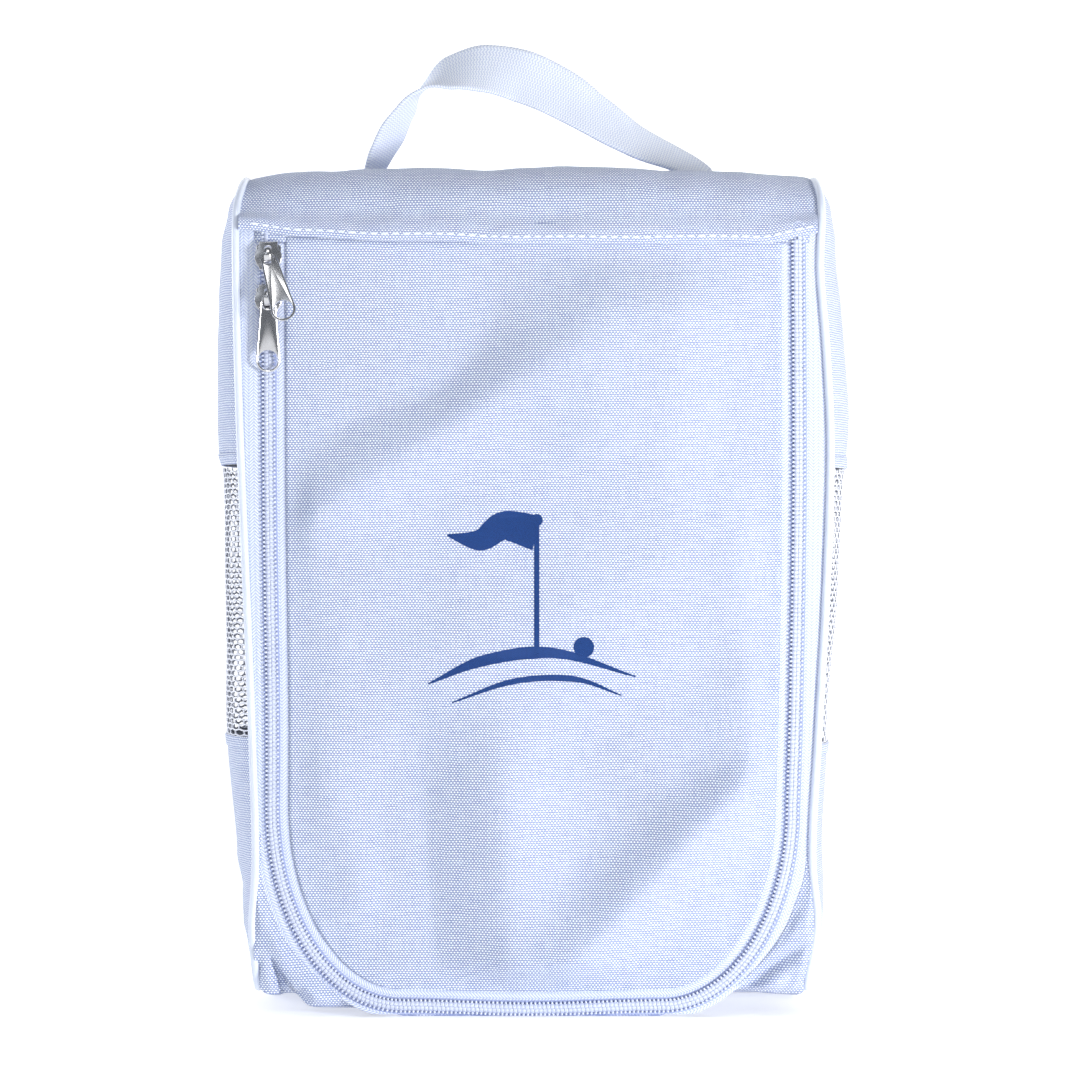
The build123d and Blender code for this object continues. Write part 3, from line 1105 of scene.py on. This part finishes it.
def makeRoot():
    # The flap's cloth and the zip's inner tape go on under the header
    columns = [-118 + 236 * k / 60 for k in range(61)]
    rows = [[Vector((x, tapeY - 0.7, z)) for x in columns] for z in (329.6, 332, 335, 338)]
    uvRows = [[(p.x * mm, p.z * mm) for p in row] for row in rows]
    piece = gridPiece("flap_root_cloth", rows, uvRows, facing=(0, -1, 0))
    thicken(piece, 0.4)
    finishPiece(piece, "bag", "cloth", material=clothWhite)


makeRoot()
topCloth, topSurface = makeTop()
makeBack()
makeBottom()
print("stage: wrap made")


gusset = dict(
    belly=dict(left=[(0, 3), (24, 5), (33, 6.4), (50, 7.8), (67, 11.2), (118, 14.0), (160, 12.8), (236, 11),
                     (241, 12.4), (284, 11.9), (305, 10.9), (330, 9.3), (345, 6.5), (362, 2)],
               right=[(0, 2), (33, 4.6), (67, 7), (118, 6.6), (190, 8), (215, 8), (262, 10.8), (305, 11.2),
                      (330, 9.4), (345, 7), (362, 2)]),
    vent=dict(left=(119.0, 235.5), right=(116.0, 234.0)),
    rim=3.2,
    thickness=0.8,
    columns=44,
)


def gussetRow(z):
    # Front and back limits of the side panel at height z, inside the piping
    edge = gusset["rim"]
    limits = []
    for sign, radiusTop, radiusLow in ((-1, 25, 12), (1, 25, 17)):
        half = -frontY - edge
        top, low = crownZ - crownDrop - edge, edge + 0.6
        y = half
        if z > top - radiusTop:
            y = half - radiusTop + math.sqrt(max(0.0, radiusTop ** 2 - (z - top + radiusTop) ** 2))
        if z < low + radiusLow:
            y = half - radiusLow + math.sqrt(max(0.0, radiusLow ** 2 - (low + radiusLow - z) ** 2))
        limits.append(sign * y)
    return limits


def gussetSpread(z):
    # Places from front to back at height z, closer together at both ends
    a, b = gussetRow(z)
    count = gusset["columns"]
    return [a + (b - a) * (0.5 - 0.5 * math.cos(math.pi * j / count)) for j in range(count + 1)]


def gussetX(hand, y, z):
    side = sides[hand]
    belly = lerpTable(gusset["belly"][hand], z)
    low, high = gussetRow(z)
    half = max(high - low, 1.0) / 2
    t = min(1.0, abs(y - (low + high) / 2) / half)
    lift = belly * (1 - t ** 2.6) ** 0.8
    lift += 0.8 * noise.noise(Vector((y * 0.03, z * 0.025, 5.0 + side))) * (1 - t ** 4)
    return seamX(hand, z) + side * (lift + 0.2)


def makeGussetBand(hand, name, low, high, node):
    rows, uvRows = [], []
    count = max(6, round((high - low) / 2.5))
    for i in range(count + 1):
        z = low + (high - low) * i / count
        places = gussetSpread(z)
        rows.append([Vector((gussetX(hand, y, z), y, z + cornerLift(y, z))) for y in places])
        uvRows.append([(y * mm, z * mm) for y in places])
    piece = gridPiece(name, rows, uvRows, facing=(sides[hand], 0, 0))
    finishCloth(piece, gusset["thickness"], "bag", node)


def makeVentHem(hand, name, z, upward):
    # Folded edge of the cloth beside the mesh
    side = sides[hand]
    rows, uvRows = [], []
    profile = [(0.0, -0.2), (-0.2, 0.9), (0.5, 1.4), (3.0, 1.2), (4.6, 0.9), (5.0, 0.1)]
    for step, lift in profile:
        level = z + upward * step
        places = gussetSpread(level)
        rows.append([Vector((gussetX(hand, y, level) + side * lift * 0.6, y, level)) for y in places])
        uvRows.append([(y * mm, level * mm) for y in places])
    piece = gridPiece(name, rows, uvRows, facing=(side, 0, 0))
    thicken(piece, 0.4)
    return finishPiece(piece, "bag", "cloth", material=clothWhite)


net = dict(cellHeight=4.6, cellDepth=4.6, yarn=0.4)


def makeVent(hand):
    # Hexagonal net between the two hems
    low, high = gusset["vent"][hand]
    low, high = low - 1.5, high + 1.5
    side = sides[hand]
    verts, edges, index = [], [], {}

    def knot(y, z):
        key = (round(y * 20), round(z * 20))
        if key not in index:
            index[key] = len(verts)
            verts.append(Vector((gussetX(hand, y, z) - side * 0.3, y, z)))
        return index[key]

    stepY, stepZ = net["cellDepth"], net["cellHeight"]
    half = -frontY - gusset["rim"]
    columns = int(2 * half / stepY)
    rowsCount = int((high - low) / stepZ)
    for i in range(columns + 1):
        y = -half + i * stepY
        for k in range(rowsCount + 1):
            z = low + k * stepZ + (stepZ / 2 if i % 2 else 0)
            if z + stepZ * 0.62 > high:
                continue
            lower, upper = knot(y, z), knot(y, z + stepZ * 0.36)
            edges.append((lower, upper))
            for nextY, nextZ in ((y + stepY, z + stepZ * 0.5), (y + stepY, z - stepZ * 0.5)):
                if nextY > half + 0.1 or not low <= nextZ <= high - stepZ * 0.62:
                    continue
                if nextZ > z:
                    edges.append((upper, knot(nextY, nextZ)))
                else:
                    edges.append((lower, knot(nextY, nextZ + stepZ * 0.36)))
    piece = meshObject(f"vent_{hand}_net", verts, [])
    piece.data.edges.add(len(edges))
    for edge, ends in zip(piece.data.edges, edges):
        edge.vertices = ends
    runTree(piece, knitTree, {"Yarn radius": net["yarn"] * mm, "Sides": 5, "Material": yarnWhite})
    finishPiece(piece, "bag", "mesh", f"side_{hand}_mesh", material=yarnWhite)


for hand in ("left", "right"):
    low, high = gusset["vent"][hand]
    top = crownZ - crownDrop - gusset["rim"] - 0.2
    foot = gusset["rim"] + 0.8
    upperHem = makeVentHem(hand, f"vent_{hand}_upper_hem", high, 1)
    lowerHem = makeVentHem(hand, f"vent_{hand}_lower_hem", low, -1)
    makeGussetBand(hand, f"side_{hand}_upper_cloth", high, top, f"side_{hand}_upper")
    makeGussetBand(hand, f"side_{hand}_lower_cloth", foot, low, f"side_{hand}_lower")
    makeVent(hand)
print("stage: sides made")


corner = dict(
    topZ=78,
    base=dict(left=[(-116.6, 13.2), (-114.4, 10.6), (-110.5, 9.5), (-101, 9.5), (-97.5, 6.4), (-93, 4.5),
                    (-71, 4.0)],
              right=[(117.6, 15), (116.4, 11.6), (113.6, 9.6), (105, 10), (94, 11), (83, 10.5), (72, 7.5)]),
    folds=dict(left=[(-119, 30, -113, 8, 3.2, 2.6), (-108, 34, -90, 6, 5.5, 2.6),
                     (-114, 44, -104, 22, 3.5, 1.6), (-99, 12, -97, 5, 1.8, -2.4)],
               right=[(113, 29, 85, 12, 2.6, -3.6), (119, 24, 96, 11, 5.0, 2.4), (114, 42, 90, 20, 4.5, 2.0),
                      (111, 18, 104, 7, 2.4, -1.8), (99, 17, 80, 9, 2.0, -1.6)]),
    pleat=dict(left=(-110.8, 26, -102.5, 6, 4.6, 8.0), right=(112, 14, 110, 6, 3.0, 2.0)),
    cut=dict(left=(0.048, 0.095, 0.0026), right=(0.049, 0.092, 0.0025)),
)


def pleatDepth(x, z, pleat):
    # A tuck that opens downwards from its point
    apexX, apexZ, footX, footZ, half, depth = pleat
    share = min(1.0, max(0.0, (apexZ - z) / (apexZ - footZ)))
    middle, width = apexX + (footX - apexX) * share, 0.6 + half * share
    return depth * share ** 0.6 * (1 - smoothStep(0.55 * width, width, abs(x - middle)))


def alongPolyline(points, count):
    total = sum((b - a).length for a, b in zip(points, points[1:]))
    return evenly(points, total / count)


def makeCornerPatch(hand):
    # Three-sided cloth between the piping, the zip tape and the base
    side = sides[hand]
    tape = [p + n * (outerTapeReach(p) - 1.2) for p, n in zip(centreLine, outwards) if p.x * side > 0]
    tape = sorted([q for q in tape if q.z < corner["topZ"] and abs(q.x) > 70], key=lambda q: -q.z)
    lowest = corner["base"][hand][-1][1]
    tape = [q for q in tape if q.z > lowest - 1.0] + [Vector((corner["base"][hand][-1][0], 0, lowest - 0.5))]
    seam = [Vector((seamX(hand, z) - side * 0.8, 0, z)) for z in range(corner["topZ"], 14, -2)]
    base = smoothPath([(x, 0, z) for x, z in corner["base"][hand]], 1.5)
    count = 70
    inner, outer = alongPolyline(tape, count), alongPolyline(seam + base, count)
    seamShare = len(seam) / (len(seam) + len(base))
    rows, uvRows = [], []
    for i, (a, b) in enumerate(zip(inner, outer)):
        onBase = smoothStep(-0.04, 0.04, i / count - seamShare)
        row = []
        for u in range(33):
            p = b.lerp(a, (u / 32) ** 1.2)
            toTape, toEdge = (p - a).length, (p - b).length
            lift = 0.5 + 2.4 * smoothStep(0, 9, min(toTape, toEdge + 3))
            lift += sum(ridge(p.x, p.z, fold) for fold in corner["folds"][hand]) * smoothStep(0, 5, toTape)
            lift -= pleatDepth(p.x, p.z, corner["pleat"][hand]) * smoothStep(0, 4, toTape)
            lift += 0.35 * noise.noise(Vector((p.x * 0.12, p.z * 0.12, 2.0)))
            back = onBase * 6.0 * (1 - smoothStep(0, 7, toEdge)) ** 1.5
            row.append(Vector((p.x, tapeY - lift + back, p.z)))
        edge = row[0]
        under = [edge + Vector((0, back * onBase + y, -down * onBase))
                 for back, y, down in ((16, 3, 2.0), (8, 2, 1.6), (3, 1, 0.9))]
        for p in under:
            p.z = max(p.z, 1.6)
        rows.append(under + row)
        uvRows.append([(p.x * mm, (p.z - p.y) * mm) for p in under] + [(p.x * mm, p.z * mm) for p in row])
    piece = gridPiece(f"corner_{hand}_cloth", rows, uvRows, facing=(0, -1, 0))
    finishCloth(piece, 0.7, "bag", f"corner_patch_{hand}")


for hand in ("left", "right"):
    makeCornerPatch(hand)
print("stage: corners made")


stitch = dict(pitch=4.6, length=3.6, radius=0.55, lift=0.1)


def stitchUnit(name, length, radius):
    work = bmesh.new()
    bmesh.ops.create_uvsphere(work, u_segments=6, v_segments=5, radius=1.0)
    bmesh.ops.scale(work, vec=Vector((length / 2 * mm, radius * mm, radius * 0.7 * mm)), verts=work.verts)
    return pieceFrom(name, work)


def stitchRow(name, surface, points, direction, body):
    # A row of stitches lying on a surface, found by looking along the given direction
    path, facings = [], []
    for point in points:
        start = (Vector(point) - Vector(direction) * 60) * mm
        spot, normal, _, _ = surface.ray_cast(start, Vector(direction))
        if spot is None:
            continue
        if normal.dot(Vector(direction)) > 0:
            normal = -normal
        path.append(spot / mm + normal * stitch["lift"])
        facings.append(normal)
    unit = stitchUnit(name + "_unit", stitch["length"], stitch["radius"])
    piece = repeatAlong(name, path, facings, unit, stitch["pitch"], threadWhite, uneven=0.08, seed=7)
    bpy.data.objects.remove(unit)
    return finishPiece(piece, body, "cloth", material=threadWhite)


headerLine = [(x, frontY, headerEdge(x) + 3.8) for x in range(-118, 119, 2)]
headerStitches = stitchRow("header_stitches", topSurface, headerLine, (0, 1, 0), "bag")
print("stage: stitches made")


metal = dict(
    bodyOutline=[(3.7, 5.7), (3.9, 3.2), (5.2, 1.4), (5.5, -0.8), (4.9, -3.0), (3.9, -4.4), (3.5, -5.7)],
    plate=1.3,
    bridgeWidth=3.0,
    pullLength=32.0,
    pullTop=3.4,
    pullTip=5.3,
    pullPlate=0.9,
    rim=0.55,
    eye=2.45,
    finger=4.35,
)


def flatCurve(name, loops, extrude, bevel, resolution=2):
    # A plate with holes, cut from closed outlines, with rounded edges
    curve = bpy.data.curves.new(name, "CURVE")
    curve.dimensions = "2D"
    curve.fill_mode = "BOTH"
    curve.extrude = extrude * mm
    curve.bevel_depth = bevel * mm
    curve.bevel_resolution = resolution
    for loop in loops:
        spline = curve.splines.new("POLY")
        spline.points.add(len(loop) - 1)
        for point, (x, y) in zip(spline.points, loop):
            point.co = (x * mm, y * mm, 0, 1)
        spline.use_cyclic_u = True
    holder = linked(name, curve)
    mesh = evaluatedMesh(holder)
    bpy.data.objects.remove(holder)
    piece = linked(name, mesh)
    reworked(piece, lambda work: bmesh.ops.remove_doubles(work, verts=work.verts, dist=2e-6))
    outwardFaces(piece)
    return piece


def circleLoop(cx, cy, radius, count=36):
    turns = [2 * math.pi * k / count for k in range(count)]
    return [(cx + radius * math.cos(a), cy + radius * math.sin(a)) for a in turns]


def localFrame(origin, right, up):
    right, up = Vector(right).normalized(), Vector(up).normalized()
    out = right.cross(up)
    matrix = Matrix((right, up, out)).transposed().to_4x4()
    matrix.translation = Vector(origin) * mm
    return matrix


def shade(piece):
    # Flat faces stay flat and rounded edges shade round
    def sharpen(work):
        for edge in work.edges:
            if len(edge.link_faces) == 2 and edge.calc_face_angle(0) > math.radians(35):
                edge.smooth = False

    smoothed(piece.data)
    reworked(piece, sharpen)


def makeSlider(name, node, body):
    low, high = boxOf(node)
    cx, cz = (low.x + high.x) / 2, (low.z + high.z) / 2
    s = metal
    half = smoothPath([(x, 0, y) for x, y in s["bodyOutline"]], 0.5)
    outlineLoop = [(p.x, p.z) for p in half] + [(-p.x, p.z) for p in reversed(half)]
    plateY = coilFrontY - 0.4 - s["plate"] / 2
    plate = flatCurve(name, [outlineLoop], s["plate"] / 2 - 0.3, 0.3)
    plate.data.transform(localFrame((cx, plateY, cz), (1, 0, 0), (0, 0, 1)))
    # side flanges down to the tape
    flange = []
    for sign in (-1, 1):
        loop = [(0, -4.2), (1.0, -3.6), (1.0, 3.6), (0, 4.4)]
        piece = flatCurve(name + "_flange", [[(sign * x, y) for x, y in loop]], 0.85, 0.12, 1)
        piece.data.transform(localFrame((cx + sign * 4.2, coilFrontY + 0.75, cz + 0.4), (1, 0, 0), (0, 0, 1)))
        flange.append(piece)
    # bridge: a bowed strap from the head of the body to its tail
    reach = abs(low.y) - abs(coilFrontY) - 0.4 - s["plate"]
    profile = []
    for k in range(25):
        t = k / 24
        z = cz + 3.9 - 7.0 * t
        lift = math.sin(math.pi * t) ** 0.45 * reach
        profile.append(Vector((cx, plateY - s["plate"] / 2 + 0.2 - lift, z)))
    rows, uvRows = [], []
    shape = [(-1, -0.35), (-0.8, -0.6), (0, -0.75), (0.8, -0.6), (1, -0.35), (1, 0.4), (0, 0.45), (-1, 0.4)]
    for p, along in zip(profile, tangents(profile)):
        out = Vector((0, along.z, -along.y))
        if out.y > 0:
            out = -out
        w = s["bridgeWidth"] / 2
        rows.append([p + Vector((1, 0, 0)) * a * w - out * b for a, b in shape])
        uvRows.append([(0, 0)] * len(shape))
    bridge = gridPiece(name + "_bridge", rows, uvRows, wrap=True)
    outwardFaces(bridge)
    plate.data.materials.append(nickel)
    whole = joined(name, [plate, bridge] + flange)
    shade(whole)
    finishPiece(whole, body, "nickel", node, material=nickel)


def pullOutline(grow):
    # A wide round tip, straight sides and a narrow round top, and the tip's centre
    s, count = metal, 24
    top, tip, length = s["pullTop"] + grow, s["pullTip"] + grow, s["pullLength"]
    low = -length + s["pullTip"] + 0.5
    high = 0.8
    loop = []
    for k in range(count + 1):
        a = math.pi * k / count
        loop.append((top * math.cos(a), high - 2.6 + top * math.sin(a)))
    for k in range(count + 1):
        a = math.pi + math.pi * k / count
        loop.append((tip * math.cos(a), low + tip * math.sin(a)))
    return loop, low


def makePull(name, node, body, joint, lean, rise):
    s = metal
    joints = frame["record"]["behaviour"]["joints"]
    place = Vector(next(j["pos_m"] for j in joints if j["name"] == joint)) / mm
    loop, low = pullOutline(-s["rim"])
    eyeY = -s["eye"] + 0.2
    eyeLoop = circleLoop(0, eyeY, s["eye"])
    fingerLoop = circleLoop(0, low, s["finger"])
    plate = flatCurve(name, [loop, eyeLoop, fingerLoop], s["pullPlate"] / 2 - 0.12, 0.12)
    rims = [tube(name + "_rim", [Vector((x, 0, y)) for x, y in path], s["rim"], 8, closed=True)
            for path in (pullOutline(-s["rim"])[0], circleLoop(0, eyeY, s["eye"] + 0.15))]
    upright = Matrix.Rotation(math.radians(-90), 4, "X")
    for rim in rims:
        rim.data.transform(upright)
        outwardFaces(rim)
    ledge = [Vector((x, 0.5, z)) for x, z in ((-3.2, -6.3), (0, -6.5), (3.2, -6.3))]
    step = tube(name + "_step", ledge, 0.18, 6)
    step.data.transform(upright)
    plate.data.materials.append(nickel)
    whole = joined(name, [plate, step] + rims)
    leanAngle, riseAngle = math.radians(lean), math.radians(rise)
    right = Vector((math.cos(leanAngle), 0, math.sin(leanAngle)))
    up = Vector((-math.sin(leanAngle), 0, math.cos(leanAngle))) * math.cos(riseAngle)
    up += Vector((0, 1, 0)) * math.sin(riseAngle)
    whole.data.transform(localFrame(place, right, up))
    shade(whole)
    finishPiece(whole, body, "nickel", node, material=nickel)


makeSlider("slider_upper_body", "slider_upper", "upper_slider")
makeSlider("slider_lower_body", "slider_lower", "lower_slider")
makePull("pull_upper_plate", "pull_upper", "upper_pull", "upper_pull_lift", 17.0, 21.0)
makePull("pull_lower_plate", "pull_lower", "lower_pull", "lower_pull_lift", 0.0, -4.0)
print("stage: sliders made")


# Each station: place (x, z), y, and how far the webbing has turned about its own run
handle = dict(
    stations=[(-70.5, 352, 0, 8), (-70.5, 362, 0, 11), (-66.7, 371, 0, 18), (-61.2, 381, 0, 22),
              (-54, 392.5, 0, 12), (-47.0, 401.5, 0, -8), (-36, 407.5, -1, -40), (-21, 409.5, -3, -62),
              (-4, 406.0, -4, -74), (13, 398.5, -4, -66), (29, 388.5, -3, -50), (46, 378.0, -2, -37),
              (62.9, 370.5, -1, -28), (75.5, 363, 0, -23), (79, 352, 0, -20)],
    width=25.0,
    thickness=1.7,
)


def makeHandle():
    s = handle
    path = smoothPath([(x, y, z) for x, z, y, _ in s["stations"]], 2.0)
    lengths = runLengths([Vector((x, y, z)) for x, z, y, _ in s["stations"]])

    def turnAt(share):
        # the turn is looked up by the share of the way along
        want = share * lengths[-1]
        for k in range(len(lengths) - 1):
            if want <= lengths[k + 1]:
                t = (want - lengths[k]) / (lengths[k + 1] - lengths[k])
                t = t * t * (3 - 2 * t) * 0.5 + t * 0.5
                return s["stations"][k][3] + (s["stations"][k + 1][3] - s["stations"][k][3]) * t
        return s["stations"][-1][3]

    half, thick = s["width"] / 2, s["thickness"] / 2
    upper = [(-half + 0.5 + (2 * half - 1.0) * k / 16, thick) for k in range(17)]
    lower = [(half - 0.5 - (2 * half - 1.0) * k / 16, -thick) for k in range(17)]
    shape = [(-half, 0)] + upper + [(half, 0)] + lower
    rows, uvRows = [], []
    for i, (p, along, run) in enumerate(zip(path, tangents(path), runLengths(path))):
        turn = math.radians(turnAt(i / (len(path) - 1)))
        normal = Vector((-along.z, 0, along.x)).normalized()
        across = math.cos(turn) * Vector((0, -1, 0)) + math.sin(turn) * normal
        across = (across - along * across.dot(along)).normalized()
        out = across.cross(along)
        cup = 0.6 * math.sin(run * 0.03)
        rows.append([p + across * a + out * (b + cup * (a / half) ** 2) for a, b in shape])
        uvRows.append([((a + 20) * mm, run * mm) for a, b in shape])
    piece = gridPiece("handle_webbing", rows, uvRows, wrap=True)
    outwardFaces(piece)
    piece.data.materials.append(webbingWhite)
    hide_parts("handle_strap", "handle_end_left", "handle_end_right")
    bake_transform(piece)


makeHandle()
patch = frame["nodes"]["handle_patch"]
for slotItem in patch.material_slots:
    slotItem.material = bindingWhite
print("stage: handle made")


def stripe(points, widths):
    # A brush stroke: a line that swells and tapers
    path = smoothPath([(x, 0, z) for x, z in points], 1.5)
    left, right = [], []
    for i, (p, n) in enumerate(zip(path, sideways(path))):
        share = i / (len(path) - 1) * (len(widths) - 1)
        k = min(int(share), len(widths) - 2)
        w = (widths[k] + (widths[k + 1] - widths[k]) * (share - k)) / 2
        left.append((p.x + n.x * w, p.z + n.z * w))
        right.append((p.x - n.x * w, p.z - n.z * w))
    return left + right[::-1]


flagPrint = dict(centre=(0, 172), ground=[(-44, -30), (-20, -20), (10, -17), (44, -27)], lift=0.16)


def makePrint():
    cx, cz = flagPrint["centre"]
    shapes = [
        stripe(flagPrint["ground"], [0.6, 4.6, 5.4, 3.0, 0.6]),
        stripe([(-34, -38), (-8, -29), (18, -28), (38, -35)], [0.5, 2.4, 2.8, 0.5]),
        stripe([(2, -18), (2, 38)], [2.2, 2.2]),
        stripe([(2, 34), (-12, 37), (-22, 31), (-36, 33)], [15, 12.5, 9, 0.8]),
        circleLoop(2, 39.5, 2.6, 20),
        circleLoop(22, -14.5, 4.4, 28),
    ]
    parts = [flatCurve("shape", [[(x + cx, z + cz) for x, z in shape]], 0.0, 0.0) for shape in shapes]
    whole = joined("flap_flag_print", parts)
    work = bmesh.new()
    work.from_mesh(whole.data)
    bmesh.ops.triangulate(work, faces=work.faces)
    for _ in range(6):
        long = [e for e in work.edges if e.calc_length() > 2.5 * mm]
        if not long:
            break
        bmesh.ops.subdivide_edges(work, edges=long, cuts=1)
        bmesh.ops.triangulate(work, faces=work.faces)
    layer = work.loops.layers.uv.new("UVMap")
    for vert in work.verts:
        x, z = vert.co.x, vert.co.y
        spot = flapSurface.ray_cast(Vector((x, -0.3, z)), Vector((0, 1, 0)))[0]
        vert.co = Vector((x, spot.y - flagPrint["lift"] * mm, z))
    for face in work.faces:
        for loop in face.loops:
            loop[layer].uv = (loop.vert.co.x, loop.vert.co.z)
    bmesh.ops.remove_doubles(work, verts=work.verts, dist=1e-6)
    work.to_mesh(whole.data)
    work.free()
    faceTowards(whole, (0, -1, 0))
    smoothed(whole.data)
    finishPiece(whole, "flap", "cloth", material=clothPrint)


makePrint()
print("stage: print made")


studio = dict(wall=0.16, bend=0.25, width=3.2, depth=2.4, height=2.4)


def makeBackdrop():
    s = studio
    startY, r = s["wall"], s["bend"]
    profile = [(-s["depth"], 0.0), (startY, 0.0)]
    for k in range(1, 13):
        a = math.pi / 2 * k / 12
        profile.append((startY + r * math.sin(a), r * (1 - math.cos(a))))
    profile.append((startY + r, s["height"]))
    rows = [[Vector((x / mm, y / mm, z / mm)) for x in (-s["width"], 0, s["width"])] for y, z in profile]
    uvRows = [[(0, 0)] * 3 for _ in rows]
    backdrop = gridPiece("backdrop", rows, uvRows, facing=(0, -1, 1))
    material, tree, shader = newMaterial("backdrop paper")
    shader.inputs["Base Color"].default_value = (0.88, 0.88, 0.88, 1)
    shader.inputs["Roughness"].default_value = 0.9
    shader.inputs["Emission Color"].default_value = (1, 1, 1, 1)
    shader.inputs["Emission Strength"].default_value = 0.42
    clear = tree.nodes.new("ShaderNodeBsdfTransparent")  # the wall doesn't hide the bag's back
    side = tree.nodes.new("ShaderNodeNewGeometry")
    blend = tree.nodes.new("ShaderNodeMixShader")
    tree.links.new(side.outputs["Backfacing"], blend.inputs["Fac"])
    tree.links.new(shader.outputs["BSDF"], blend.inputs[1])
    tree.links.new(clear.outputs["BSDF"], blend.inputs[2])
    out = next(n for n in tree.nodes if n.type == "OUTPUT_MATERIAL")
    tree.links.new(blend.outputs["Shader"], out.inputs["Surface"])
    backdrop.data.materials.append(material)


def areaLight(name, place, target, size, power, colour=(1, 1, 1)):
    light = bpy.data.lights.new(name, "AREA")
    light.shape = "DISK"
    light.size = size
    light.energy = power
    light.color = colour
    holder = linked(name, light)
    holder.location = place
    holder.visible_camera = False
    holder.rotation_euler = (Vector(target) - Vector(place)).to_track_quat("-Z", "Y").to_euler()


makeBackdrop()
areaLight("key", (0.86, -0.9, 0.10), (0, 0, 0.14), 0.3, 14.6)
areaLight("fill", (-1.0, -1.8, 0.9), (0, 0, 0.18), 1.0, 2.5, (0.88, 0.93, 1.0))
areaLight("left", (-1.9, 0.12, 0.5), (0, 0, 0.18), 0.8, 12.5, (0.9, 0.94, 1.0))
areaLight("above", (-0.1, -1.3, 1.75), (0, 0, 0.2), 0.9, 9)
world = bpy.data.worlds.new("studio")
world.use_nodes = True
sky = world.node_tree.nodes["Background"]
sky.inputs["Color"].default_value = (0.82, 0.89, 1.0, 1)
sky.inputs["Strength"].default_value = 0.17
bpy.context.scene.world = world
bpy.context.scene.view_settings.view_transform = "Standard"

view = dict(frameWidth=0.459, distance=1.85, centreX=0.0034, centreZ=0.203, sensor=36.0)
camera = bpy.data.cameras.new("camera")
camera.sensor_width = view["sensor"]
camera.lens = view["sensor"] * view["distance"] / view["frameWidth"]
cameraHolder = linked("camera", camera)
cameraHolder.location = (view["centreX"], frontY * mm - view["distance"], view["centreZ"])
cameraHolder.rotation_euler = (math.radians(90), 0, 0)
bpy.context.scene.camera = cameraHolder
print("stage: studio made")
